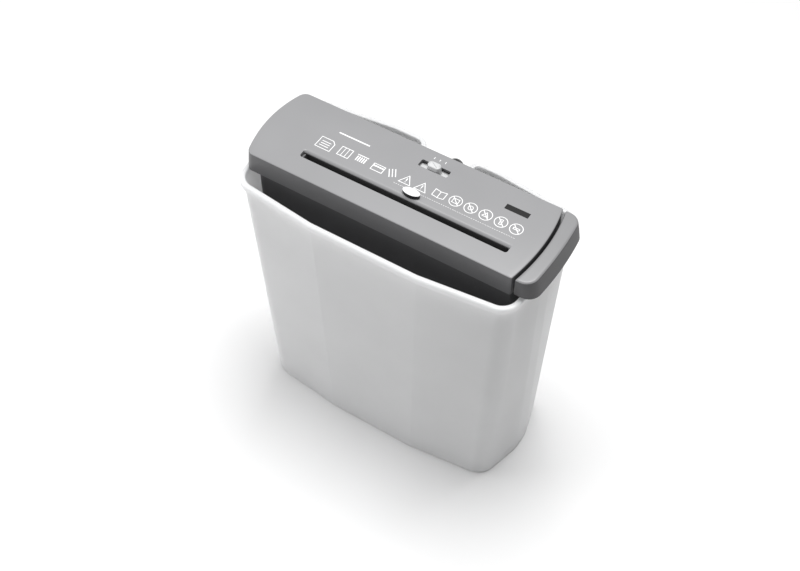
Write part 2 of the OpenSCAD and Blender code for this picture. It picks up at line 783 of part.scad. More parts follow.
module motor_can() color("silver") difference() {
    union() {
        rod_x(motor_x, motor_len, motor_pos, motor_d / 2);
        rod_x(left_plate_x, plate_t + 1, motor_pos, motor_boss_r - 0.1);
    }
    rod_x(motor_x + 2, motor_len, motor_pos, motor_d / 2 - can_t);
    rod_x(left_plate_x - 1, 10, motor_pos, motor_shaft_r + running_fit);
    for (side = [-1, 1]) rod_x(motor_x - 1, 4, motor_pos + [0, side * motor_screw_at], 1.5);
}

module motor_end_cap() color("black") difference() {
    rod_x(motor_x + motor_len, end_cap_len, motor_pos, motor_d / 2 - 1);
    rod_x(motor_x + motor_len - 1, end_cap_len - 2, motor_pos, motor_shaft_r + running_fit);
}

module motor_magnets() color("dimgray") {
    outer_r = motor_d / 2 - can_t - 0.05;
    for (turn = [0, 180]) along_x(motor_x + 10, 38) translate(motor_pos) rotate(turn) {
        polygon(concat(arc(0, 0, outer_r, -65, 65, 16), arc(0, 0, outer_r - 3.5, 65, -65, 16)));
    }
}

// Rotor: shaft, slotted core, windings and commutator
module motor_armature() color("chocolate") {
    rod_x(first_layer_x, motor_x + motor_len + 4 - first_layer_x, motor_pos, motor_shaft_r);
    along_x(motor_x + 13, 30) translate(motor_pos) difference() {
        circle(r = 14);
        for (i = [0:11]) rotate(i * 30) translate([10.5, -0.8]) square([5, 1.6]);
        circle(r = motor_shaft_r - eps);
    }
    for (x = [motor_x + 8, motor_x + 43]) along_x(x, 5) translate(motor_pos) difference() {
        circle(r = 11.5);
        circle(r = motor_shaft_r - eps);
    }
    along_x(motor_x + 48, 8) translate(motor_pos) difference() {
        circle(r = 6);
        circle(r = motor_shaft_r - eps);
    }
}

module motor_screws() color("silver") {
    for (side = [-1, 1]) translate([left_plate_x, motor_pos[0], motor_pos[1] + side * motor_screw_at]) {
        rotate([0, 90, 0]) screw_up(1.5, plate_t + 2, 2.8, 1.6);
    }
}

module thermal_cutout() color("tan") {
    box([motor_x + 20, motor_pos[0] - 4, motor_pos[1] + motor_d / 2 + 0.1],
        [motor_x + 34, motor_pos[0] + 4, motor_pos[1] + motor_d / 2 + 3.9]);
}

// ---- circuit board ----

module control_board() color("darkgreen") difference() {
    box([board_x[0], board_y[0], board_z], [board_x[1], board_y[1], board_z + board_t]);
    for (x = [board_x[0] + board_edge, board_x[1] - board_edge]) {
        for (y = [board_y[0] + board_edge, board_y[1] - board_edge]) {
            translate([x, y, board_z - 1]) cylinder(h = 5, r = 1.5);
        }
    }
}

module board_screws() color("silver") {
    for (x = [board_x[0] + board_edge, board_x[1] - board_edge]) {
        for (y = [board_y[0] + board_edge, board_y[1] - board_edge]) {
            translate([x, y, board_z]) screw_up(1.05, 9, 2.6, 1.5);
        }
    }
}

board_top = board_z + board_t;
module motor_relay() color("royalblue") box([52, 18, board_top], [71, 33.5, board_top + 15.5]);
module suppression_capacitor() color("gold") box([74, 17, board_top], [92, 25.5, board_top + 15]);
module bridge_rectifier() color("black") box([76, 30, board_top], [91, 33.8, board_top + 11]);

module terminal_block() color("green") difference() {
    box([95, 24, board_top], [110, 33, board_top + 10]);
    for (x = [98, 102.5, 107]) translate([x, 28.5, board_top + 4]) cylinder(h = 10, r = 1.6, $fn = 24);
}

module status_led() color("lime") translate([lens_x, lens_y, top_z - 13]) {
    cylinder(h = 1, r = 2.9);
    cylinder(h = 5, r = 2.5);
    translate([0, 0, 5]) sphere(r = 2.5);
    for (x = [-1.27, 1.27]) translate([x - 0.3, -0.3, -4]) cube([0.6, 0.6, 5]);
}

// ---- paper sensor and interlock ----

module paper_sensor_lever() color("ivory") along_x(lever_x - lever_w / 2, lever_w) difference() {
    union() {
        translate(lever_at) circle(r = 3.2);
        polygon([
            lever_at + [0, 2.6], lever_at + [-13, -1.2], lever_at + [-13.4, -2.4],
            lever_at + [-12.6, -3.2], lever_at + [0, -2.2], lever_at + [11, -0.8], lever_at + [11, 1]
        ]);
    }
    translate(lever_at) circle(r = axle_r + running_fit);
}

module sensor_axle() color("silver") rod_x(lever_x - 6, 15, lever_at, axle_r);

// Torsion spring wound on the axle beside the lever
module sensor_spring() color("silver") {
    steps = 12;
    last = spring_turns * steps;
    pitch = 0.9;
    route = [for (i = [0:last]) let (a = i * 360 / steps)
        [lever_x + 1.9 + i * pitch / steps,
            lever_at[0] + spring_r * cos(a), lever_at[1] + spring_r * sin(a)]];
    tube(route, [1, 0, 0], spring_wire_r, 6);
}

module microswitch(low, button_down) {
    box(low, low + [6.4, 20, 10]);
    translate([low[0] + 3.2, low[1] + 3.5, low[2] - button_down]) {
        cylinder(h = button_down + 1, r = 1.2, $fn = 24);
    }
}

module sensor_microswitch() color("black") microswitch([lever_x - 3.2, -2.5, 314.5], 1.2);

module interlock_plunger() color("ivory") translate([plunger_at[0], plunger_at[1], 0]) {
    translate([0, 0, rim_z + 0.4]) cylinder(h = 5, r = plunger_r);
    box([-1.8, -2.5, ledge_z + ledge_t + 0.3], [7, 2.5, ledge_z + ledge_t + 1.9]);
    translate([5.2, 0, ledge_z + ledge_t + 1]) cylinder(h = 2.85, r = 1.4);
}

module interlock_microswitch() color("black") {
    microswitch([plunger_at[0] + 2, plunger_at[1] - 3.5, 315.6], 1.2);
}

// ---- mains lead ----

module cord_boot() color("black") translate([boot_x, 0, 0]) {
    translate([0, head_back_y - 6, boot_z]) rotate([-90, 0, 0]) difference() {
        union() {
            cylinder(h = 8, r = boot_r - 1.6);
            cylinder(h = 3, r = boot_r + 0.3);
        }
        translate([0, 0, -1]) cylinder(h = 5, r = cord_r + 0.05);
    }
    translate([0, head_back_y + 1, boot_z - boot_bend_r]) rotate([90, 0, 90]) rotate_extrude(angle = 90) {
        translate([boot_bend_r, 0]) circle(r = boot_r);
    }
    translate([0, boot_y, boot_end_z]) {
        difference() {
            cylinder(h = boot_z - boot_bend_r - boot_end_z, r1 = cord_r + 1, r2 = boot_r);
            for (z = [4:5:19]) translate([0, 0, z]) difference() {
                cylinder(h = 1.6, r = 9);
                translate([0, 0, -1]) cylinder(h = 4, r = cord_r + 0.5);
            }
        }
    }
}

module cord_clamp() color("ivory") difference() {
    box([boot_x - 13, clamp_y - 3, boot_z - cord_r - 3], [boot_x + 13, clamp_y + 3, boot_z + cord_r - 0.4]);
    translate([boot_x, clamp_y - 6, boot_z]) rotate([-90, 0, 0]) cylinder(h = 12, r = cord_r + 0.02);
    for (x = [-9, 9]) translate([boot_x + x, clamp_y, boot_z - 10]) cylinder(h = 20, r = 1.6);
}

module clamp_screws() color("silver") {
    for (x = [-9, 9]) translate([boot_x + x, clamp_y, boot_z - cord_r - 3]) screw_up(1.5, 16, 2.9, 1.8);
}

module inner_lead() color("black") {
    translate([boot_x, clamp_y - 3.8, boot_z]) rotate([-90, 0, 0]) {
        cylinder(h = head_back_y - 2.1 - clamp_y + 3.8, r = cord_r);
    }
}

module power_cord() color("black") tube(cord_route, [1, 0, 0], cord_r);

module cord_coil() color("black") translate([coil_x, coil_y, 0.05]) rotate_extrude() {
    translate([coil_inner_turn_r - cord_r, 0]) {
        square([coil_outer_turn_r - coil_inner_turn_r + cord_d, coil_h]);
    }
}

module plug_lead() color("black") tube(plug_route, [0, 0, 1], cord_r);

plug_x = plug_route[len(plug_route) - 1][0];
plug_y = plug_route[len(plug_route) - 1][1];
module mains_plug() color("black") translate([plug_x, plug_y, plug_z]) rotate([0, -90, 0]) {
    cylinder(h = 13, r1 = cord_r + 0.6, r2 = 5.5);
    translate([0, 0, 12]) linear_extrude(plug_size[0] - 12) {
        hull() for (y = [-1, 1]) translate([0, y * (plug_size[1] - plug_size[2]) / 2]) {
            circle(d = plug_size[2], $fn = 32);
        }
    }
}

module plug_pins() color("silver") {
    for (y = [-9.5, 9.5]) translate([plug_x - plug_size[0], plug_y + y, plug_z]) rotate([0, -90, 0]) {
        cylinder(h = plug_pin_len - 1, r = plug_pin_r);
        translate([0, 0, plug_pin_len - 1]) cylinder(h = 1, r1 = plug_pin_r, r2 = plug_pin_r - 0.8);
    }
}

// ---- drawing ----

waste_bin();
top_cover();
lower_housing();
end_grip();
throat_guide();
indicator_lens();
mode_knob();
mode_switch();
cover_screws();
left_frame_plate();
right_frame_plate();
frame_screws();
tie_rods();
tie_rod_nuts();
shaft_bushings();
front_cutter_shaft();
rear_cutter_shaft();
front_cutter_discs();
rear_cutter_discs();
front_spacers();
rear_spacers();
front_stripper_comb();
rear_stripper_comb();
front_sync_gear();
rear_sync_gear();
cutter_drive_gear();
second_reduction_gear();
first_reduction_gear();
motor_pinion();
gear_pins();
gear_cover_plate();
motor_can();
motor_end_cap();
motor_magnets();
motor_armature();
motor_screws();
thermal_cutout();
control_board();
board_screws();
motor_relay();
suppression_capacitor();
bridge_rectifier();
terminal_block();
status_led();
paper_sensor_lever();
sensor_axle();
sensor_spring();
sensor_microswitch();
interlock_plunger();
interlock_microswitch();
cord_boot();
cord_clamp();
clamp_screws();
inner_lead();
power_cord();
cord_coil();
plug_lead();
mains_plug();
plug_pins();
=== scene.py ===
"""Looks of the strip-cut paper shredder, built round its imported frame. Metres, +Z up."""

import json
import math

import bmesh
import bpy
from mathutils import Matrix, Vector


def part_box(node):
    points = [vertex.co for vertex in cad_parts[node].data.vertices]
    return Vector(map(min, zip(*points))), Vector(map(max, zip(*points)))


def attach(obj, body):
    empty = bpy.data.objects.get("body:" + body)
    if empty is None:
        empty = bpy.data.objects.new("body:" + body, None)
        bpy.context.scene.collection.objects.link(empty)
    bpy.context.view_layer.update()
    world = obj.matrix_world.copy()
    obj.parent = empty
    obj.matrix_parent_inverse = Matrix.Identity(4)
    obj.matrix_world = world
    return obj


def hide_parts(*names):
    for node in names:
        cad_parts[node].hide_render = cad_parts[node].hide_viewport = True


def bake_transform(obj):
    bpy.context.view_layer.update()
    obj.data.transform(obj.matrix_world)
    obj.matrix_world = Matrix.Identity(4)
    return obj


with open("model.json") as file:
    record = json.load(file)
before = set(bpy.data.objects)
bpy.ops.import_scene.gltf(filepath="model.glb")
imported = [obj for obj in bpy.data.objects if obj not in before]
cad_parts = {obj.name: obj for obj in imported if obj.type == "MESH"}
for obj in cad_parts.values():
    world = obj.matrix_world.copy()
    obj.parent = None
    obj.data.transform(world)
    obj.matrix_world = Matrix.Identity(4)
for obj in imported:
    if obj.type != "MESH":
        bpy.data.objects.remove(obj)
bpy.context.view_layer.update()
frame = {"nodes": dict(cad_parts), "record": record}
MM = 0.001
RECORD = frame["record"]

# ---- places, from the frame ----

head_low, head_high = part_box("top_cover")
bin_low, bin_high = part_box("waste_bin")
boot_low, boot_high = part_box("cord_boot")
plug_low, plug_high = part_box("mains_plug")
pins_low, pins_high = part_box("plug_pins")
throat_low, throat_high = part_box("throat_guide")
lens_low, lens_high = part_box("indicator_lens")
knob_low, knob_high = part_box("mode_knob")
plunger_low, plunger_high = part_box("interlock_plunger")

BACK_SWELL = 1.1 * MM
MID_Y = (head_low.y + head_high.y + BACK_SWELL) / 2
HALF_Y = (head_high.y - head_low.y + BACK_SWELL) / 2
CROWN = 2 * MM
EDGE_Z = head_high.z - CROWN
RIM_Z = bin_high.z
BIN_X = (bin_low.x + bin_high.x) / 2
LENS_X = 10.9 * MM
LENS_Y = (lens_low.y + lens_high.y) / 2 - 1.6 * MM
LENS_TOP = lens_high.z + 1 * MM
KNOB_X = (knob_low.x + knob_high.x) / 2
KNOB_Y = (knob_low.y + knob_high.y) / 2
BOOT_X = (boot_low.x + boot_high.x) / 2
BOOT_Z = 313 * MM
PLUNGER_X = (plunger_low.x + plunger_high.x) / 2
PLUNGER_Y = (plunger_low.y + plunger_high.y) / 2


def crown_z(y):
    """Height of the cover's crowned top at y."""
    return EDGE_Z + CROWN * (1 - ((y - MID_Y) / HALF_Y) ** 2)


# ---- camera ----


def make_camera():
    azimuth = math.radians(32.59)
    elevation = math.radians(51.92)
    roll = math.radians(-0.34)
    target = Vector((-0.00945, -0.0012, 0.17094))
    distance = 1.3138
    back = Vector((
        math.sin(azimuth) * math.cos(elevation),
        -math.cos(azimuth) * math.cos(elevation),
        math.sin(elevation),
    ))
    level = Vector((math.cos(azimuth), math.sin(azimuth), 0))
    above = back.cross(level)
    right = level * math.cos(roll) + above * math.sin(roll)
    up = above * math.cos(roll) - level * math.sin(roll)
    data = bpy.data.cameras.new("camera")
    data.lens = 58.5
    data.sensor_width = 36
    data.clip_start = 0.05
    data.clip_end = 30
    camera = bpy.data.objects.new("camera", data)
    bpy.context.scene.collection.objects.link(camera)
    turn = Matrix((right, up, back)).transposed().to_4x4()
    camera.matrix_world = Matrix.Translation(target + back * distance) @ turn
    bpy.context.scene.camera = camera


make_camera()

# ---- mesh helpers ----

SMOOTH_DEG = 35


def shade(bm, smooth_deg):
    """Smooth shading, except across edges sharper than smooth_deg."""
    limit = math.radians(smooth_deg)
    for face in bm.faces:
        face.smooth = True
    for edge in bm.edges:
        if len(edge.link_faces) == 2:
            edge.smooth = edge.calc_face_angle(0) < limit


def new_object(name, bm, smooth_deg=SMOOTH_DEG):
    """Shaded object from a bmesh, which it uses up."""
    bmesh.ops.recalc_face_normals(bm, faces=bm.faces)
    shade(bm, smooth_deg)
    mesh = bpy.data.meshes.new(name)
    bm.to_mesh(mesh)
    bm.free()
    obj = bpy.data.objects.new(name, mesh)
    bpy.context.scene.collection.objects.link(obj)
    return obj


def rings_of(bm, rings):
    return [[bm.verts.new(p) for p in ring] for ring in rings]


def join_rings(bm, low, high, slot=0):
    count = len(low)
    for i in range(count):
        n = (i + 1) % count
        face = bm.faces.new((low[i], low[n], high[n], high[i]))
        face.material_index = slot


def loft(bm, rings):
    """Closed surface through rings of equally many points, added to a bmesh."""
    made = rings_of(bm, rings)
    for low, high in zip(made, made[1:]):
        join_rings(bm, low, high)
    bm.faces.new(made[0])
    bm.faces.new(made[-1])


def skin(name, rings, smooth_deg=SMOOTH_DEG):
    """Object with one lofted surface."""
    bm = bmesh.new()
    loft(bm, rings)
    return new_object(name, bm, smooth_deg)


def slab(name, plan, z0, z1):
    """Object with straight sides over a plan."""
    return skin(name, [at_z(plan, z0), at_z(plan, z1)])


def grown(points, grow):
    """Plan outline moved outward by grow. The points run anticlockwise."""
    made = []
    count = len(points)
    for i, p in enumerate(points):
        before = (p - points[i - 1]).normalized()
        after = (points[(i + 1) % count] - p).normalized()
        n1 = Vector((before.y, -before.x))
        n2 = Vector((after.y, -after.x))
        made.append(p + (n1 + n2) * (grow / (1 + n1.dot(n2))))
    return made


def at_z(points, z):
    return [Vector((p.x, p.y, z)) for p in points]


def arc(x, y, radius, a0, a1, steps):
    """Points of an arc, by its angles from +X."""
    return [Vector((x + radius * math.cos(a), y + radius * math.sin(a)))
            for a in (a0 + (a1 - a0) * i / steps for i in range(steps + 1))]


def around(radius, steps=32):
    """Points of a circle about the origin."""
    return arc(0, 0, radius, 0, 2 * math.pi, steps)[:-1]


def fillet(before, at, after, radius, steps):
    """Points that round one corner of an outline."""
    a = (before - at).normalized()
    b = (after - at).normalized()
    half = a.angle(b) / 2
    centre = at + (a + b).normalized() * (radius / math.sin(half))
    start = at + a * (radius / math.tan(half)) - centre
    end = at + b * (radius / math.tan(half)) - centre
    turn = start.angle_signed(end)
    made = []
    for i in range(steps + 1):
        angle = -turn * i / steps
        c, s = math.cos(angle), math.sin(angle)
        made.append(centre + Vector((start.x * c - start.y * s, start.x * s + start.y * c)))
    return made


def rounded(corners, steps=5):
    """Outline from (x, y, radius) corners."""
    made = []
    count = len(corners)
    for i, (x, y, radius) in enumerate(corners):
        at = Vector((x, y))
        if radius == 0:
            made.append(at)
            continue
        before = Vector(corners[i - 1][:2])
        after = Vector(corners[(i + 1) % count][:2])
        made += fillet(before, at, after, radius, steps)
    return made


def rounded_box(x0, x1, y0, y1, radius, steps=6):
    return rounded([(x0, y0, radius), (x1, y0, radius), (x1, y1, radius), (x0, y1, radius)], steps)


def cut(obj, *cutters):
    """Subtracts closed meshes from obj, and removes them."""
    for cutter in cutters:
        modifier = obj.modifiers.new("cut", "BOOLEAN")
        modifier.operation = "DIFFERENCE"
        modifier.solver = "EXACT"
        modifier.object = cutter
        with bpy.context.temp_override(object=obj, active_object=obj, selected_objects=[obj]):
            bpy.ops.object.modifier_apply(modifier=modifier.name)
        bpy.data.objects.remove(cutter)
    bm = bmesh.new()
    bm.from_mesh(obj.data)
    bmesh.ops.remove_doubles(bm, verts=bm.verts, dist=1e-6)
    shade(bm, SMOOTH_DEG)
    bm.to_mesh(obj.data)
    bm.free()
    return obj


def catmull(points, step):
    """Smooth path through points, as points about step apart."""
    pts = [points[0] * 2 - points[1], *points, points[-1] * 2 - points[-2]]
    made = []
    for a, b, c, d in zip(pts, pts[1:], pts[2:], pts[3:]):
        n = max(1, round((c - b).length / step))
        for i in range(n):
            t = i / n
            made.append(0.5 * (2 * b + (c - a) * t + (2 * a - 5 * b + 4 * c - d) * t * t
                               + (3 * b - a - 3 * c + d) * t ** 3))
    made.append(points[-1].copy())
    return made


def tube_rings(path, radii, sides):
    """Circles of the given radii round a path, turned with it as little as possible."""
    side = Vector((1, 0, 0))
    made = []
    last = len(path) - 1
    for i, p in enumerate(path):
        along = (path[min(i + 1, last)] - path[max(i - 1, 0)]).normalized()
        side = (side - along * side.dot(along)).normalized()
        across = along.cross(side)
        made.append([
            p + radii[i] * (math.cos(a) * side + math.sin(a) * across)
            for a in (2 * math.pi * k / sides for k in range(sides))
        ])
    return made


# ---- mains lead ----

CORD_R = 3.25 * MM
LEAD_ROUTE = [
    (16, 61.8, 266), (16, 61.8, 250), (16, 61.8, 234), (16, 61.8, 218), (16, 61.8, 202),
    (16, 61.8, 186), (16, 61.8, 170), (16, 61.8, 154), (16, 61.8, 138), (16, 61.8, 122),
    (16, 61.8, 106), (16, 61.9, 90), (16, 62.4, 75), (16, 63.9, 60), (16, 67, 46),
    (16, 72, 33), (16, 79, 21.5), (16, 88, 12.3), (16, 99, 6.2), (16, 112, 3.3), (16, 127, 3.3),
]
PLUG_ROUTE = [
    (-29.5, 169, 9.8), (-42, 170.4, 9.8), (-54, 171.4, 9.5), (-66, 172, 8.6), (-78, 172.2, 7.6),
    (-87, 172.2, 7.1), (-96, 172.2, 7),
]
COIL_AT = Vector((-29.5, 127)) * MM
COIL_OUTER_R = 45.5 * MM
COIL_INNER_R = 26 * MM
COIL_EXIT_R = 42 * MM
LOW_LAYER_Z = 3.3 * MM
HIGH_LAYER_Z = 9.8 * MM


def eased(t):
    """0 to 1 with level ends."""
    t = min(max(t, 0), 1)
    return t * t * (3 - 2 * t)


def coil_points():
    """Three turns inward on the floor, a short climb, and two turns back out on top of them."""
    inward = 3 * 360
    climb = (1030, 1150)
    leave = 5 * 360 + 90
    step = 8
    made = []
    for degrees in range(step, leave, step):
        if degrees <= inward:
            r = COIL_OUTER_R + (COIL_INNER_R - COIL_OUTER_R) * degrees / inward
        elif degrees <= climb[1]:
            r = COIL_INNER_R
        else:
            share = (degrees - climb[1]) / (leave - climb[1])
            r = COIL_INNER_R + (COIL_EXIT_R - COIL_INNER_R) * share
        rise = eased((degrees - climb[0]) / (climb[1] - climb[0]))
        z = LOW_LAYER_Z + (HIGH_LAYER_Z - LOW_LAYER_Z) * rise
        a = math.radians(degrees)
        made.append(Vector((COIL_AT.x + r * math.cos(a), COIL_AT.y + r * math.sin(a), z)))
    return made


def make_cord():
    lead = [Vector(p) * MM for p in LEAD_ROUTE]
    end = [Vector(p) * MM for p in PLUG_ROUTE]
    path = catmull(lead + coil_points() + end, 3.5 * MM)
    cord = skin("power_lead", tube_rings(path, [CORD_R] * len(path), 16), 60)
    return cord, path


lead, lead_path = make_cord()

# ---- materials ----


def new_material(name, **settings):
    """Principled material and its shader, with sockets set by name."""
    material = bpy.data.materials.new(name)
    material.use_nodes = True
    nodes = material.node_tree.nodes
    shader = nodes["Principled BSDF"]
    for socket, value in settings.items():
        shader.inputs[socket.replace("_", " ")].default_value = value
    return material, shader


def noise(tree, scale, detail=3, roughness=0.5, stretch=(1, 1, 1)):
    """Noise over the object's own coordinates, with about scale features to the metre."""
    place = tree.nodes.new("ShaderNodeTexCoord")
    mapping = tree.nodes.new("ShaderNodeMapping")
    mapping.inputs["Scale"].default_value = stretch
    texture = tree.nodes.new("ShaderNodeTexNoise")
    texture.inputs["Scale"].default_value = scale
    texture.inputs["Detail"].default_value = detail
    texture.inputs["Roughness"].default_value = roughness
    tree.links.new(place.outputs["Object"], mapping.inputs["Vector"])
    tree.links.new(mapping.outputs["Vector"], texture.inputs["Vector"])
    return texture.outputs["Fac"]


def ramp(tree, source, low, high):
    """Maps the middle of a 0 to 1 source to a number or a colour between low and high."""
    low_at, high_at = 0.3, 0.7
    if isinstance(low, (int, float)):
        node = tree.nodes.new("ShaderNodeMapRange")
        node.inputs["From Min"].default_value = low_at
        node.inputs["From Max"].default_value = high_at
        node.inputs["To Min"].default_value = low
        node.inputs["To Max"].default_value = high
        tree.links.new(source, node.inputs["Value"])
        return node.outputs["Result"]
    node = tree.nodes.new("ShaderNodeValToRGB")
    node.color_ramp.elements[0].position = low_at
    node.color_ramp.elements[0].color = (*low, 1)
    node.color_ramp.elements[1].position = high_at
    node.color_ramp.elements[1].color = (*high, 1)
    tree.links.new(source, node.inputs["Fac"])
    return node.outputs["Color"]


def bump(tree, shader, source, strength, depth):
    node = tree.nodes.new("ShaderNodeBump")
    node.inputs["Strength"].default_value = strength
    node.inputs["Distance"].default_value = depth
    tree.links.new(source, node.inputs["Height"])
    tree.links.new(node.outputs["Normal"], shader.inputs["Normal"])


def shaded(colour, change):
    return tuple(min(c * change, 1) for c in colour)


def plastic(name, colour, rough, grain=2600, depth=0.02, change=0.05, **extra):
    """Moulded plastic: a fine grain, and slow changes of tone and gloss."""
    material, shader = new_material(name, **extra)
    tree = material.node_tree
    slow = noise(tree, 14, 2)
    fine = noise(tree, grain, 3, 0.6)
    tint = ramp(tree, slow, shaded(colour, 1 - change), shaded(colour, 1 + change))
    tree.links.new(tint, shader.inputs["Base Color"])
    tree.links.new(ramp(tree, fine, rough - 0.05, rough + 0.05), shader.inputs["Roughness"])
    bump(tree, shader, fine, 0.25, depth * MM)
    return material


def metal(name, colour, rough, stretch=(1, 1, 1), grain=900, depth=0.01):
    """Metal with drawn or turned marks along the axis that stretch makes small."""
    material, shader = new_material(name, Metallic=1.0)
    tree = material.node_tree
    slow = noise(tree, 25, 3)
    fine = noise(tree, grain, 4, 0.6, stretch)
    tint = ramp(tree, slow, shaded(colour, 0.86), shaded(colour, 1.08))
    tree.links.new(tint, shader.inputs["Base Color"])
    tree.links.new(ramp(tree, fine, rough - 0.08, rough + 0.1), shader.inputs["Roughness"])
    bump(tree, shader, fine, 0.3, depth * MM)
    return material


MATERIALS = {
    "bin_plastic": plastic("bin_plastic", (0.76, 0.765, 0.775), 0.42, 1800, 0.03, 0.02,
                           Subsurface_Weight=0.7, Subsurface_Scale=0.014,
                           Subsurface_Radius=(1, 1, 1)),
    "cover_plastic": plastic("cover_plastic", (0.3, 0.3, 0.307), 0.38, 2400, 0.02, 0.03),
    "housing_plastic": plastic("housing_plastic", (0.055, 0.055, 0.058), 0.5, 2200, 0.03, 0.05,
                               Specular_IOR_Level=0.3),
    "black_plastic": plastic("black_plastic", (0.02, 0.02, 0.021), 0.4, 2200, 0.02, 0.1),
    "white_plastic": plastic("white_plastic", (0.88, 0.885, 0.89), 0.28, 1500, 0.008, 0.015),
    "natural_nylon": plastic("natural_nylon", (0.78, 0.75, 0.66), 0.42, 900, 0.03, 0.05),
    "plated_steel": metal("plated_steel", (0.66, 0.67, 0.68), 0.3, (0.05, 1, 1)),
    "cutter_steel": metal("cutter_steel", (0.34, 0.35, 0.37), 0.34, (1, 0.2, 1), 1200),
    "bronze": metal("bronze", (0.62, 0.43, 0.22), 0.36),
    "copper_winding": metal("copper_winding", (0.72, 0.32, 0.14), 0.4, (1, 0.05, 0.05), 2500,
                            0.08),
    "magnet_ferrite": plastic("magnet_ferrite", (0.06, 0.06, 0.065), 0.7, 1500, 0.04, 0.12),
    "board_green": plastic("board_green", (0.02, 0.16, 0.07), 0.35, 700, 0.02, 0.15),
    "relay_blue": plastic("relay_blue", (0.04, 0.12, 0.38), 0.35),
    "capacitor_yellow": plastic("capacitor_yellow", (0.75, 0.52, 0.06), 0.3),
    "led_green": plastic("led_green", (0.20, 0.62, 0.22), 0.15),
    "tape_tan": plastic("tape_tan", (0.55, 0.42, 0.25), 0.6),
    "cord_pvc": plastic("cord_pvc", (0.018, 0.018, 0.018), 0.5, 1600, 0.03, 0.1),
}
# The cover's sides get a darker copy of its grey: painted shade, as they face away from the light
# above.
SIDE_PAINTED_SHADE = plastic("cover_side_painted_shade", (0.12, 0.12, 0.124), 0.4, 2400, 0.02, 0.04)
PRINT_WHITE = plastic("print_white", (0.92, 0.92, 0.92), 0.5, 3000, 0.004, 0.02)
PRINT_BLACK = plastic("print_black", (0.01, 0.01, 0.01), 0.35, 3000, 0.004, 0.05)
# Near black for the lens cap's sides below its white top: painted shade under the cap.
LENS_SIDE_PAINTED_SHADE = plastic("lens_side_painted_shade", (0.02, 0.02, 0.021), 0.4)
GRIP_GREY = plastic("grip_grey", (0.27, 0.27, 0.276), 0.38, 2400, 0.02, 0.03)
# The grip's sides get a darker copy of its grey: painted shade, as they face away from the light
# above.
GRIP_SIDE_PAINTED_SHADE = plastic("grip_side_painted_shade", (0.108, 0.108, 0.111), 0.45, 2400, 0.02, 0.04,
                         Specular_IOR_Level=0.22)
KNOB_WHITE = plastic("knob_white", (0.62, 0.625, 0.63), 0.35, 1500, 0.008, 0.015)
# Grey of the throat guide, made lighter than its dark plastic so that the shaded paper slot looks
# lit: painted light.
THROAT_GREY_PAINTED_LIGHT = plastic("throat_grey_painted_light", (0.14, 0.14, 0.143), 0.4)


def give(obj, *materials):
    """Swaps an object's materials. This also sets all its faces back to the first one."""
    obj.data.materials.clear()
    for material in materials:
        obj.data.materials.append(material)


def place(obj, body, slot, *materials, nodes=()):
    """Gives a piece its materials, by default the one of its slot, puts it in its body, and hides
    the CAD nodes it stands for.
    """
    give(obj, *(materials or (MATERIALS[slot],)))
    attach(obj, body)
    if nodes:
        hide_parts(*nodes)
    return obj


for part in RECORD["subparts"]:
    give(frame["nodes"][part["node"]], MATERIALS[part["material_slot"]])

# Painted light: the throat guide is lightened so that the inside of the paper slot looks lit.
give(frame["nodes"]["throat_guide"], THROAT_GREY_PAINTED_LIGHT)

# ---- bin ----

LIP_H = 7 * MM
LIP_OUT = 3.5 * MM
WALL = 2 * MM
RECESS_X = 2 * MM - BIN_X
RECESS_Y = 51 * MM
FOOT_Z = 3 * MM
NOTCH_HALF_X = 9 * MM
LEVELS = [z * MM for z in (20, 80, 150, 220, 280)]


def corner_arc(kink, centre, radius, end, steps=12):
    """Front right corner: the part of a circle between its tangents from two outside points."""
    def touch(p, side):
        away = p - centre
        swing = math.acos(radius / away.length)
        return math.atan2(away.y, away.x) + side * swing
    return arc(centre.x, centre.y, radius, touch(kink, 1), touch(end, -1), steps)


def bin_outline(kink_x, half_y, corner, corner_r, half_x):
    """Outer plan of the bin's wall about its own middle, with the lead's recess at the back.

    The front is flat between the kinks, and turns from there to the corner. Each end is flat in
    its middle, and turns from there to the corner.
    """
    kink = Vector((kink_x, -half_y))
    end = Vector((half_x, -10 * MM))
    centre = Vector((corner[0] - corner_r, -corner[1] + corner_r))
    turn = corner_arc(kink, centre, corner_r, end)
    quarter = fillet(Vector((-kink_x, -half_y)), kink, turn[0], 6 * MM, 3) + turn
    quarter += fillet(turn[-1], end, Vector((half_x, 10 * MM)), 30 * MM, 3)
    right = quarter + [Vector((p.x, -p.y)) for p in reversed(quarter)]
    left = [-p for p in right]
    recess = rounded([
        (RECESS_X + 60 * MM, half_y, 0),
        (RECESS_X + 28 * MM, half_y, 6 * MM),
        (RECESS_X + 25.5 * MM, RECESS_Y + 6 * MM, 5 * MM),
        (RECESS_X + 23 * MM, RECESS_Y, 4.6 * MM),
        (RECESS_X - 23 * MM, RECESS_Y, 4.6 * MM),
        (RECESS_X - 25.5 * MM, RECESS_Y + 6 * MM, 5 * MM),
        (RECESS_X - 29 * MM, half_y, 11 * MM),
        (RECESS_X - 60 * MM, half_y, 0),
    ], 7)[1:-1]
    return right + recess + left


BASE_PLAN = bin_outline(49 * MM, 68.6 * MM, (138 * MM, 61.2 * MM), 24 * MM, 146.2 * MM)
RIM_PLAN = bin_outline(57.5 * MM, 73.4 * MM, (147.6 * MM, 65.2 * MM), 17.5 * MM, 151 * MM)


def bin_ring(z, grow):
    """The bin's plan at height z, moved outward by grow."""
    share = (z - FOOT_Z) / (RIM_Z - FOOT_Z)
    plan = [a.lerp(b, share) for a, b in zip(BASE_PLAN, RIM_PLAN)]
    return [Vector((p.x + BIN_X, p.y, z)) for p in grown(plan, grow)]


def quarter_turn(radius, steps=4):
    """(out, up) steps of a rounded edge, from straight out to straight up."""
    return [(radius * math.sin(a), radius * (1 - math.cos(a)))
            for a in (math.pi / 2 * i / steps for i in range(steps + 1))]


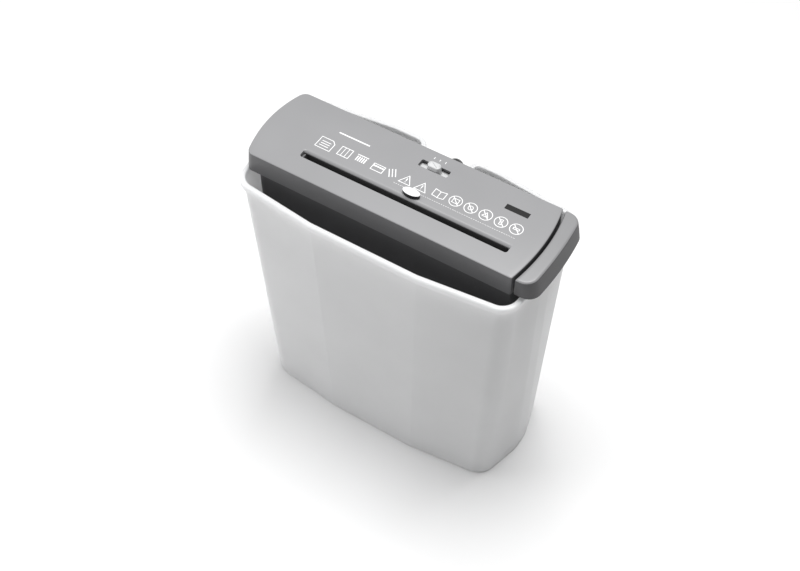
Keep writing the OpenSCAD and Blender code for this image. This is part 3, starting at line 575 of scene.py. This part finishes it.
def make_bin():
    """From the foot up the outside, over the rolled lip, down the inside and to the floor."""
    rings = [bin_ring(up, out - FOOT_Z) for out, up in quarter_turn(FOOT_Z)]
    rings += [bin_ring(z, 0) for z in LEVELS]
    lip_z = RIM_Z - LIP_H
    lip_foot = [(-0.8 * MM, 0), (-0.2 * MM, 0.25 * MM), (0, LIP_OUT - 1.2 * MM),
                (0.35 * MM, LIP_OUT - 0.35 * MM), (1.2 * MM, LIP_OUT)]
    rings += [bin_ring(lip_z + up, out) for up, out in lip_foot]
    roll = 2.4 * MM
    rings += [bin_ring(RIM_Z - roll + roll * math.sin(a), LIP_OUT - roll * (1 - math.cos(a)))
              for a in (math.pi / 2 * i / 5 for i in range(6))]
    edge = 1 * MM
    rings += [bin_ring(RIM_Z - edge * (1 - math.cos(a)), -WALL + edge * (1 - math.sin(a)))
              for a in (math.pi / 2 * i / 3 for i in range(4))]
    rings += [bin_ring(z, -WALL) for z in reversed(LEVELS)]
    curve = 1.2 * MM
    rings += [bin_ring(WALL + curve * (1 - math.sin(a)), -WALL - curve * (1 - math.cos(a)))
              for a in (math.pi / 2 * i / 4 for i in range(5))]
    bin_shell = skin("bin_shell", rings, 40)
    # The boot passes through a notch in the wall, and the lip stops beside it
    x0, x1 = BOOT_X - NOTCH_HALF_X, BOOT_X + NOTCH_HALF_X
    past_rim = RIM_Z + 3 * MM
    wall_notch = slab("wall_notch", rounded_box(x0, x1, 40 * MM, 60 * MM, 2 * MM),
                      RIM_Z - 3 * MM, past_rim)
    lip_notch = slab("lip_notch", rounded_box(x0, x1, RECESS_Y, 60 * MM, 0.5 * MM),
                     lip_z - 1.5 * MM, past_rim)
    return cut(bin_shell, wall_notch, lip_notch)


place(make_bin(), "bin", "bin_plastic", nodes=["waste_bin"])

# ---- head shells ----

FOOT = RIM_Z + 0.2 * MM
FLARE = 3 * MM
SHELL = 2.5 * MM
SEAM_X = 140.5 * MM
SEAM_R = 185 * MM
SEAM_GAP = 2.5 * MM
SEAM_CORNER_R = 1.6 * MM
LEFT_X = -158.8 * MM
BEND_X = -148.5 * MM
BEND = math.tan(math.radians(9))
GRIP_X = 160.6 * MM
SKIRT_Z = RIM_Z + 3.9 * MM
SLOT_FRONT_Y = -26.8 * MM
SLOT_REAR_Y = -20 * MM
CORNER_STEPS = 8
BOW_STEPS = 24


def bowed(apex_x, bow_r, corner_r, grow=0.0):
    """End of the head as (x, y) from front to back, bowed outward to +X."""
    apex_x += grow
    bow_r += grow
    corner_r = max(corner_r + grow, 0.3 * MM)
    half_y = HALF_Y + grow
    centre_x = apex_x - bow_r
    beta = math.asin((half_y - corner_r) / (bow_r - corner_r))
    cx = centre_x + (bow_r - corner_r) * math.cos(beta)
    cy = half_y - corner_r
    front = arc(cx, -cy, corner_r, -math.pi / 2, -beta, CORNER_STEPS)
    bow = arc(centre_x, 0, bow_r, -beta, beta, BOW_STEPS)
    back = arc(cx, cy, corner_r, beta, math.pi / 2, CORNER_STEPS)
    return [Vector((p.x, p.y + MID_Y)) for p in front + bow[1:-1] + back]


def hollowed(apex_x, bow_r, corner_r, grow=0.0):
    """Left end of a piece that fits round a bow, from front to back."""
    apex_x -= grow
    bow_r -= grow
    corner_r = max(corner_r + grow, 0.3 * MM)
    half_y = HALF_Y + grow
    centre_x = apex_x - bow_r
    reach = math.asin(half_y / bow_r)
    corner_x = centre_x + bow_r * math.cos(reach)
    margin = 1.6 * corner_r / bow_r
    bow = arc(centre_x, 0, bow_r, margin - reach, reach - margin, BOW_STEPS)
    low, high = Vector((corner_x, -half_y)), Vector((corner_x, half_y))
    side = Vector((10 * MM, 0))
    front = fillet(low + side, low, bow[0], corner_r, CORNER_STEPS)
    back = fillet(bow[-1], high, high + side, corner_r, CORNER_STEPS)
    return [Vector((p.x, p.y + MID_Y)) for p in front + bow[1:-1] + back]


def mirrored(end):
    """The same end turned to -X, still from front to back."""
    return [Vector((-p.x, p.y)) for p in end]


def bent(ring):
    """The front of the left end turns inward past BEND_X."""
    made = []
    for p in ring:
        ahead = max(0, MID_Y - p.y) / HALF_Y
        made.append(Vector((p.x, p.y + BEND * ahead * max(0, BEND_X - p.x))))
    return made


def end_ring(left, right, columns):
    """Anticlockwise plan between a left and a right end, each from front to back."""
    front = [left[0].lerp(right[0], i / columns) for i in range(1, columns)]
    back = [right[-1].lerp(left[-1], i / columns) for i in range(1, columns)]
    return [left[0], *front, *right, *back, *reversed(left[1:])]


def crowned_cap(bm, ring, rows, columns, height):
    """Fills a ring from end_ring with a grid that follows the height function."""
    right = ring[columns:columns + rows]
    left = [ring[0], *reversed(ring[2 * columns + rows - 1:])]
    front = ring[:columns + 1]
    back = [left[-1], *reversed(ring[columns + rows:2 * columns + rows - 1]), right[-1]]
    grid = [front]
    for i in range(1, rows - 1):
        a, b = left[i].co, right[i].co
        row = [left[i]]
        for k in range(1, columns):
            p = a.lerp(b, k / columns)
            row.append(bm.verts.new((p.x, p.y, height(p.y))))
        grid.append([*row, right[i]])
    grid.append(back)
    for low, high in zip(grid, grid[1:]):
        for k in range(columns):
            bm.faces.new((low[k], low[k + 1], high[k + 1], high[k]))


def shell(name, foot_plan, top_plan, foot_z, edge, columns):
    """Crowned shell, open below, between two plans that are functions of how far they grow."""
    low_edge = 0.4 * MM
    straight = 12 * MM

    def plan(z, grow):
        share = (z - foot_z) / (EDGE_Z - foot_z)
        return [a.lerp(b, share) for a, b in zip(foot_plan(grow), top_plan(grow))]

    def level(z, grow):
        return at_z(plan(z, grow), z)

    def near_top(grow, drop):
        return [Vector((p.x, p.y, crown_z(p.y) - drop)) for p in plan(EDGE_Z, grow)]

    rows = CORNER_STEPS * 2 + BOW_STEPS + 1
    inner = [near_top(-SHELL - 1 * MM, SHELL), near_top(-SHELL, SHELL + 1 * MM)]
    inner += [level(z, -SHELL) for z in (foot_z + straight, foot_z + low_edge)]
    foot = [level(foot_z, -SHELL + low_edge), level(foot_z, -low_edge), level(foot_z + low_edge, 0)]
    outer = [level(foot_z + straight, 0), near_top(0, edge)]
    steps = 5
    outer += [near_top(-edge * (1 - math.cos(a)), edge * (1 - math.sin(a)))
              for a in (math.pi / 2 * i / steps for i in range(1, steps + 1))]
    bm = bmesh.new()
    made = rings_of(bm, inner + foot + outer)
    for low, high in zip(made, made[1:]):
        join_rings(bm, low, high)
    crowned_cap(bm, made[-1], rows, columns, crown_z)
    crowned_cap(bm, made[0], rows, columns, lambda y: crown_z(y) - SHELL)
    return new_object(name, bm)


def slot_cutter():
    """Paper slot: a crisp front edge, and a soft lead-in behind it and at its ends."""
    x0, x1 = throat_low.x + 0.1 * MM, throat_high.x - 5 * MM
    corner_r = 1.6 * MM
    rise = 4.5 * MM
    end_out, front_out, rear_out = 1.2 * MM, 0.3 * MM, 4.6 * MM
    top = crown_z(SLOT_REAR_Y)
    rings = [at_z(rounded_box(x0, x1, SLOT_FRONT_Y, SLOT_REAR_Y, corner_r), top - 12 * MM)]
    steps = 8
    for i in range(steps + 1):
        a = math.pi / 2 * i / steps
        out = 1 - math.cos(a)
        z = top - rise + (rise + 0.25 * MM) * math.sin(a)
        plan = rounded_box(x0 - end_out * out, x1 + end_out * out,
                           SLOT_FRONT_Y - front_out * out ** 3, SLOT_REAR_Y + rear_out * out,
                           corner_r * (1 + out))
        rings.append(at_z(plan, z))
    rings.append(at_z(plan, top + 6 * MM))
    return skin("slot_cutter", rings)


def cutter_up(x, y, z0, z1, radius):
    rings = [[Vector((x + p.x, y + p.y, z)) for p in around(radius)] for z in (z0, z1)]
    return skin("cutter_up", rings)


def cutter_back(x, z, y0, y1, radius):
    rings = [[Vector((x + p.x, y, z + p.y)) for p in around(radius)] for y in (y0, y1)]
    return skin("cutter_back", rings)


def make_cover():
    columns = 60

    def plan(flare):
        return lambda grow: bent(end_ring(
            mirrored(bowed(-LEFT_X - flare, 150 * MM, 9 * MM, grow)),
            bowed(SEAM_X, SEAM_R, SEAM_CORNER_R, grow), columns))

    z0, z1 = EDGE_Z - 10 * MM, EDGE_Z + 10 * MM
    window_x, window_y = 15.5 * MM, 4.5 * MM
    window = rounded_box(KNOB_X - window_x, KNOB_X + window_x, KNOB_Y - window_y,
                         KNOB_Y + window_y, 1.4 * MM)
    ledge = rounded_box(SEAM_X - 15 * MM, SEAM_X + 5 * MM, -37 * MM, 35 * MM, 1 * MM)
    left_skirt = rounded_box(LEFT_X - 20 * MM, LEFT_X + 9.3 * MM, -80 * MM, 80 * MM, 1 * MM)
    plunger_room = (plunger_high.x - plunger_low.x) / 2 + 1.2 * MM
    return cut(
        shell("top_cover_shell", plan(0), plan(FLARE), FOOT, 1.3 * MM, columns),
        slot_cutter(),
        slab("window_cutter", window, z0, z1),
        slab("ledge_cutter", ledge, FOOT - 2 * MM, SKIRT_Z),
        slab("skirt_cutter", left_skirt, FOOT - 5 * MM, SKIRT_Z),
        cutter_up(LENS_X, LENS_Y, z0, z1, 3 * MM),
        cutter_back(BOOT_X, BOOT_Z, 30 * MM, 60 * MM, 5.5 * MM),
        cutter_up(PLUNGER_X, PLUNGER_Y, SKIRT_Z - 1 * MM, plunger_high.z + 4 * MM, plunger_room),
    )


def paint_side_shade(obj, above, steep=-1):
    """First material on the faces above a height that look up, second on all others. The second is
    a darker copy that paints shade on the sides, which face away from the light above.
    """
    for face in obj.data.polygons:
        is_top = face.normal.z > steep and face.center.z > above
        face.material_index = 0 if is_top else 1


# Painted shade: the cover's top keeps its grey, and its sides and lower faces get the darker copy.
cover = place(make_cover(), "head", "cover_plastic", MATERIALS["cover_plastic"], SIDE_PAINTED_SHADE,
              nodes=["top_cover"])
paint_side_shade(cover, EDGE_Z - 4 * MM, 0.55)


def make_grip():
    columns = 8

    def plan(lean):
        return lambda grow: end_ring(
            hollowed(SEAM_X + SEAM_GAP, SEAM_R + SEAM_GAP, SEAM_CORNER_R, grow),
            bowed(GRIP_X - lean, 325 * MM, 13 * MM, grow), columns)

    return shell("grip_shell", plan(0.4 * MM), plan(FLARE + 0.7 * MM), SKIRT_Z, 2.6 * MM, columns)


# Painted shade: the grip's top keeps its grey, and its sides get the darker copy.
grip = place(make_grip(), "head", "cover_plastic", GRIP_GREY, GRIP_SIDE_PAINTED_SHADE, nodes=["end_grip"])
paint_side_shade(grip, EDGE_Z - 4 * MM, 0.55)

# ---- lens, knob, boot, plug ----


def oval(half_x, half_y):
    """Outline of the lens cap about its own middle."""
    steps = 48
    return [Vector((LENS_X + half_x * math.cos(a), LENS_Y + half_y * math.sin(a)))
            for a in (2 * math.pi * i / steps for i in range(steps))]


def make_lens():
    """Low oval cap that stands in the cover's top."""
    half_x, half_y = 9 * MM, 4.4 * MM
    base = crown_z(LENS_Y) - 2.2 * MM
    edge = 0.5 * MM
    rings = [at_z(oval(half_x, half_y), z) for z in (base, LENS_TOP - 2 * edge, LENS_TOP - edge)]
    for i in range(1, 6):
        a = math.pi / 2 * i / 5
        inset = edge * (1 - math.cos(a))
        z = LENS_TOP - edge + edge * 0.9 * math.sin(a)
        rings.append(at_z(oval(half_x - inset, half_y - inset), z))
    rings += [at_z(oval((half_x - edge) * k, (half_y - edge) * k), LENS_TOP - 0.1 * edge * k * k)
              for k in (0.7, 0.35, 0.08)]
    return skin("lens_cap", rings)


# Painted shade: the lens cap's sides below its white top are near black.
lens = place(make_lens(), "head", "white_plastic", MATERIALS["white_plastic"], LENS_SIDE_PAINTED_SHADE,
             nodes=["indicator_lens"])
paint_side_shade(lens, LENS_TOP - 0.6 * MM)


def make_knob():
    """Sliding plate in the window with an eight-sided knob on it."""
    outline = rounded_box(knob_low.x, knob_high.x, knob_low.y, knob_high.y, 1 * MM)
    z0 = EDGE_Z - 5 * MM
    plate = [at_z(outline, z0), at_z(outline, z0 + 1 * MM),
             at_z(grown(outline, -0.2 * MM), z0 + 1.2 * MM)]
    half_x, half_y, chamfer = 6.75 * MM, 4 * MM, 2.2 * MM
    short_x, short_y = half_x - chamfer, half_y - chamfer
    corners = [(-half_x, -short_y), (-short_x, -half_y), (short_x, -half_y), (half_x, -short_y),
               (half_x, short_y), (short_x, half_y), (-short_x, half_y), (-half_x, short_y)]
    block = rounded([(KNOB_X + x, KNOB_Y + y, 0.9 * MM) for x, y in corners], 3)
    edge = 1.3 * MM
    knob = [at_z(grown(block, 0.25 * MM), z0 + 1 * MM), at_z(grown(block, 0.1 * MM), z0 + 4 * MM)]
    for i in range(6):
        a = math.pi / 2 * i / 5
        top_ring = grown(block, -0.2 * MM - edge * (1 - math.cos(a)))
        knob.append(at_z(top_ring, knob_high.z - edge + edge * math.sin(a)))
    bm = bmesh.new()
    loft(bm, plate)
    loft(bm, knob)
    return new_object("mode_knob_cap", bm)


place(make_knob(), "mode_slider", "white_plastic", KNOB_WHITE, nodes=["mode_knob"])


def ribbed(length, r0, r1, pitch, depth, step=0.35 * MM):
    """(distance, radius) pairs of a tapered sleeve with grooves across it."""
    made = []
    count = round(length / step)
    for i in range(count + 1):
        d = length * i / count
        wave = 0.5 - 0.5 * math.cos(2 * math.pi * d / pitch)
        groove = depth * max(0, 1 - 2.2 * wave) if pitch < d < length - 0.6 * pitch else 0
        made.append((d, r0 + (r1 - r0) * d / length - groove))
    return made


def make_boot():
    """Flanged stub in the cover's back, an elbow and a ribbed sleeve down to the lead."""
    bend = 15 * MM
    down_y = boot_high.y - 7 * MM
    stub = [(-5.5, 5.3), (-1, 5.3), (0.15, 5.3), (0.2, 7.2), (0.7, 7.4), (1, 7.1)]
    path = [Vector((BOOT_X, head_high.y + out * MM, BOOT_Z)) for out, _ in stub]
    radii = [r * MM for _, r in stub]
    steps = 14
    for i in range(1, steps + 1):
        a = math.pi / 2 * i / steps
        y = down_y - bend + bend * math.sin(a)
        path.append(Vector((BOOT_X, y, BOOT_Z - bend + bend * math.cos(a))))
        radii.append((7 - 0.4 * i / steps) * MM)
    tail = BOOT_Z - bend - boot_low.z
    for d, r in ribbed(tail, 6.6 * MM, 4.3 * MM, 5 * MM, 1.2 * MM)[1:]:
        path.append(Vector((BOOT_X, down_y, BOOT_Z - bend - d)))
        radii.append(r)
    path.append(path[-1] + Vector((0, 0, 0.01 * MM)))
    radii.append(CORD_R)
    return skin("boot_elbow", tube_rings(path, radii, 28))


place(make_boot(), "head", "black_plastic", nodes=["cord_boot"])


def make_plug():
    """Ribbed sleeve, a body that swells to its grip, and a flat face."""
    y, z = (plug_low.y + plug_high.y) / 2, (plug_low.z + plug_high.z) / 2
    face_x = plug_low.x
    hy, hz = (plug_high.y - plug_low.y) / 2, (plug_high.z - plug_low.z) / 2

    def section(x, half_y, half_z, steps=40, power=2.6):
        made = []
        for i in range(steps):
            a = 2 * math.pi * i / steps
            c, s = math.cos(a), math.sin(a)
            made.append(Vector((x, y + half_y * math.copysign(abs(c) ** (2 / power), c),
                                z + half_z * math.copysign(abs(s) ** (2 / power), s))))
        return made

    sleeve_len = 12 * MM
    start = plug_high.x
    rings = [[Vector((start, y + p.x, z + p.y)) for p in around(CORD_R, 40)]]
    rings += [section(start - d, r, r, power=2)
              for d, r in ribbed(sleeve_len, 4.1 * MM, 5.4 * MM, 3.4 * MM, 0.9 * MM)]
    body = start - sleeve_len
    swell = ((0.6, 5.9, 5.6, 2.1), (2, 8.2, 6.1, 2.3), (4, 10.9, 6.4, 2.5),
             (6.5, 12.5, 6.6, 2.7), (9, 12.9, 6.65, 2.9))
    rings += [section(body - d * MM, wide * MM, tall * MM, power=power)
              for d, wide, tall, power in swell]
    rings += [section(x, hy, hz, power=3.2) for x in (body - 12 * MM, face_x + 1.5 * MM)]
    rings += [section(face_x + 1.5 * MM * (1 - math.sin(a)), hy - 1.2 * MM * (1 - math.cos(a)),
                      hz - 1.2 * MM * (1 - math.cos(a)), power=3.2)
              for a in (math.pi / 2 * i / 4 for i in range(1, 5))]
    return skin("plug_body", rings, 45)


def make_pins():
    """Two round pins with a dark sleeve at the root. Each step is x, radius and material."""
    z = (pins_low.z + pins_high.z) / 2
    start, tip = plug_low.x + 0.3 * MM, pins_low.x
    sleeve_end = plug_low.x - 10 * MM
    shape = [
        (start, 2, 1), (sleeve_end + 0.2 * MM, 2, 1), (sleeve_end, 1.95, 1),
        (sleeve_end - 0.05 * MM, 1.88, 0), (tip + 1.6 * MM, 1.88, 0),
        (tip + 0.9 * MM, 1.7, 0), (tip + 0.3 * MM, 1.2, 0), (tip, 0.5, 0),
    ]
    bm = bmesh.new()
    for y in (pins_low.y + 2 * MM, pins_high.y - 2 * MM):
        rings = [[Vector((x, y + p.x, z + p.y)) for p in around(r * MM, 24)] for x, r, _ in shape]
        made = rings_of(bm, rings)
        for low, high, (_, _, slot) in zip(made, made[1:], shape):
            join_rings(bm, low, high, slot=slot)
        bm.faces.new(made[0])
        bm.faces.new(made[-1])
    return new_object("plug_pin_pair", bm)


plug = place(make_plug(), "bin", "black_plastic", nodes=["mains_plug"])
pins = place(make_pins(), "bin", "plated_steel", MATERIALS["plated_steel"],
             MATERIALS["black_plastic"], nodes=["plug_pins"])

give(lead, MATERIALS["cord_pvc"])
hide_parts("power_cord", "cord_coil", "plug_lead")
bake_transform(lead)

# ---- printed signs ----

INK = 0.06 * MM
LINE = 0.75 * MM


def on_cover(x, y):
    return Vector((x, y, crown_z(y) + INK))


class Print:
    """Collects flat printed shapes that lie on the cover's crowned top. Units are mm."""

    def __init__(self, x, y):
        self.bm = bmesh.new()
        self.move(x, y)

    def move(self, x, y, turn=0.0):
        self.at = Vector((x, y))
        self.turn = math.radians(turn)

    def point(self, p):
        c, s = math.cos(self.turn), math.sin(self.turn)
        return (self.at + Vector((p[0] * c - p[1] * s, p[0] * s + p[1] * c))) * MM

    def fill(self, points):
        """Closed area."""
        flat = [self.point(p) for p in points]
        self.bm.faces.new([self.bm.verts.new(on_cover(p.x, p.y)) for p in flat])

    def line(self, points, closed=False, width=LINE / MM):
        """Stroke of constant width with mitred corners."""
        pts = [Vector(p) for p in points]
        count = len(pts)
        half = width / 2
        sides = []
        for i, p in enumerate(pts):
            a = pts[i - 1] if i or closed else None
            b = pts[(i + 1) % count] if i < count - 1 or closed else None
            d1 = (p - a).normalized() if a is not None else (b - p).normalized()
            d2 = (b - p).normalized() if b is not None else d1
            n1, n2 = Vector((d1.y, -d1.x)), Vector((d2.y, -d2.x))
            out = (n1 + n2) * (half / max(0.35, 1 + n1.dot(n2)))
            sides.append((self.point(p + out), self.point(p - out)))
        made = [[self.bm.verts.new(on_cover(q.x, q.y)) for q in pair] for pair in sides]
        pairs = list(zip(made, made[1:])) + ([(made[-1], made[0])] if closed else [])
        for (a, b), (c, d) in pairs:
            self.bm.faces.new((a, c, d, b))

    def finish(self, name, material):
        """One piece of the head, with its long edges split so that it follows the crown."""
        long_edges = [e for e in self.bm.edges if e.calc_length() > 6 * MM]
        bmesh.ops.subdivide_edges(self.bm, edges=long_edges, cuts=3, use_grid_fill=True)
        obj = new_object(name, self.bm)
        for face in obj.data.polygons:
            if face.normal.z < 0:
                obj.data.flip_normals()
                break
        return place(obj, "head", "white_plastic", material)


def box_points(x0, y0, x1, y1):
    return [(x0, y0), (x1, y0), (x1, y1), (x0, y1)]


def make_signs():
    """Plain pictures of paper, cards and strips, with no lettering. Places and sizes are in mm."""
    ink = Print(-90.5, -1.8)
    ink.line([(-8, -6.5), (8, -6.5), (8, 3.4), (4.6, 6.8), (-8, 6.8)], True)
    for y in (-3.2, -0.4, 2.4):
        ink.line([(-5.2, y), (4.8, y)], width=0.8)
    ink.move(-69, -1.3)
    ink.line(box_points(-6, -5.5, 6, 5.5), True)
    ink.line([(-2, -5.5), (-2, 5.5)], width=0.6)
    ink.line([(2, -5.5), (2, 5.5)], width=0.6)
    ink.move(-51.4, 0.6)
    for x in (-4.5, -2.25, 0, 2.25, 4.5):
        ink.fill(box_points(x - 0.6, -5, x + 0.6, 1.2))
    ink.line([(-6, 2.8), (6, 2.8)], width=1)
    ink.move(-32.3, -1.9)
    ink.line(box_points(-6, -4, 6, 4), True)
    ink.fill(box_points(-6, 0.6, 6, 2.2))
    ink.move(-17.8, 0.1, 30)
    for x in (-3, 0, 3):
        ink.line([(x, -5), (x, 5)], width=0.9)
    for x in (-2.1, 14.3):
        ink.move(x, -0.3)
        ink.line([(-6, -4.8), (6, -4.8), (0, 5.6)], True)
        ink.line([(0, -1.4), (0, 2.2)], width=1)
        ink.fill(box_points(-0.5, -3.2, 0.5, -2.4))
    ink.move(32.3, 0.9)
    ink.line([(-6, -4), (0, -5), (6, -4), (6, 4), (0, 3), (-6, 4)], True)
    ink.line([(0, -5), (0, 3)])
    crossed_out = [
        box_points(-3, -2.6, 3, 2.6),
        around(2.4, 20),
        [(-3, -2), (3, -2), (0, 3)],
        box_points(-1, -3, 1, 3),
        box_points(-3, -1, 3, 1),
    ]
    for i, points in enumerate(crossed_out):
        ink.move(49 + 15.6 * i, 1.3)
        ink.line(around(6.1, 40), True)
        ink.line([(-4.2, 4.2), (4.2, -4.2)], width=0.8)
        ink.line(points, True, 0.7)
    ink.move(0, -9)
    dash, pitch = 1.6, 2.4
    for i in range(53):
        x = -11 + pitch * i
        ink.line([(x, 0), (x + dash, 0)], width=0.35)
    ink.move(-71, 17.8)
    ink.line([(-17, 0), (17, 0)], width=1.5)
    ink.move(10.7, 37.8)
    for x in (-6, 0, 6):
        ink.line([(x, -1.3), (x, 1.3)], width=0.7)
    ink.finish("printed_signs", PRINT_WHITE)
    dark = Print(101.8, 20.7)
    dark.fill(box_points(-12, -3.2, 12, 3.2))
    dark.finish("printed_panel", PRINT_BLACK)


make_signs()

# ---- floor and light ----


def make_stage():
    half = 6
    bm = bmesh.new()
    bm.faces.new([bm.verts.new((x, y, 0)) for x, y in box_points(-half, -half, half, half)])
    floor = new_object("floor", bm)
    material, shader = new_material("floor_white", Roughness=0.9)
    tree = material.node_tree
    tint = ramp(tree, noise(tree, 3, 2), (0.90, 0.90, 0.90), (0.92, 0.92, 0.92))
    tree.links.new(tint, shader.inputs["Base Color"])
    give(floor, material)


def area_light(name, at, aim, size, power):
    data = bpy.data.lights.new(name, "AREA")
    data.shape = "RECTANGLE"
    data.size, data.size_y = size
    data.energy = power
    light = bpy.data.objects.new(name, data)
    turn = (Vector(at) - Vector(aim)).to_track_quat("Z", "Y").to_matrix().to_4x4()
    light.matrix_world = Matrix.Translation(at) @ turn
    bpy.context.scene.collection.objects.link(light)


def make_light():
    """White surroundings, a large lamp above and a low one that fills the left side."""
    world = bpy.data.worlds.new("studio")
    world.use_nodes = True
    background = world.node_tree.nodes["Background"]
    background.inputs["Color"].default_value = (1, 1, 1, 1)
    background.inputs["Strength"].default_value = 0.32
    bpy.context.scene.world = world
    area_light("key", (0.03, 0.3, 2.3), (0, 0, 0), (1.1, 1.1), 47)
    area_light("left_fill", (-1.6, -0.85, 0.6), (0, 0, 0.25), (1.0, 0.5), 11.5)
    bpy.context.scene.view_settings.view_transform = "Standard"


make_stage()
make_light()
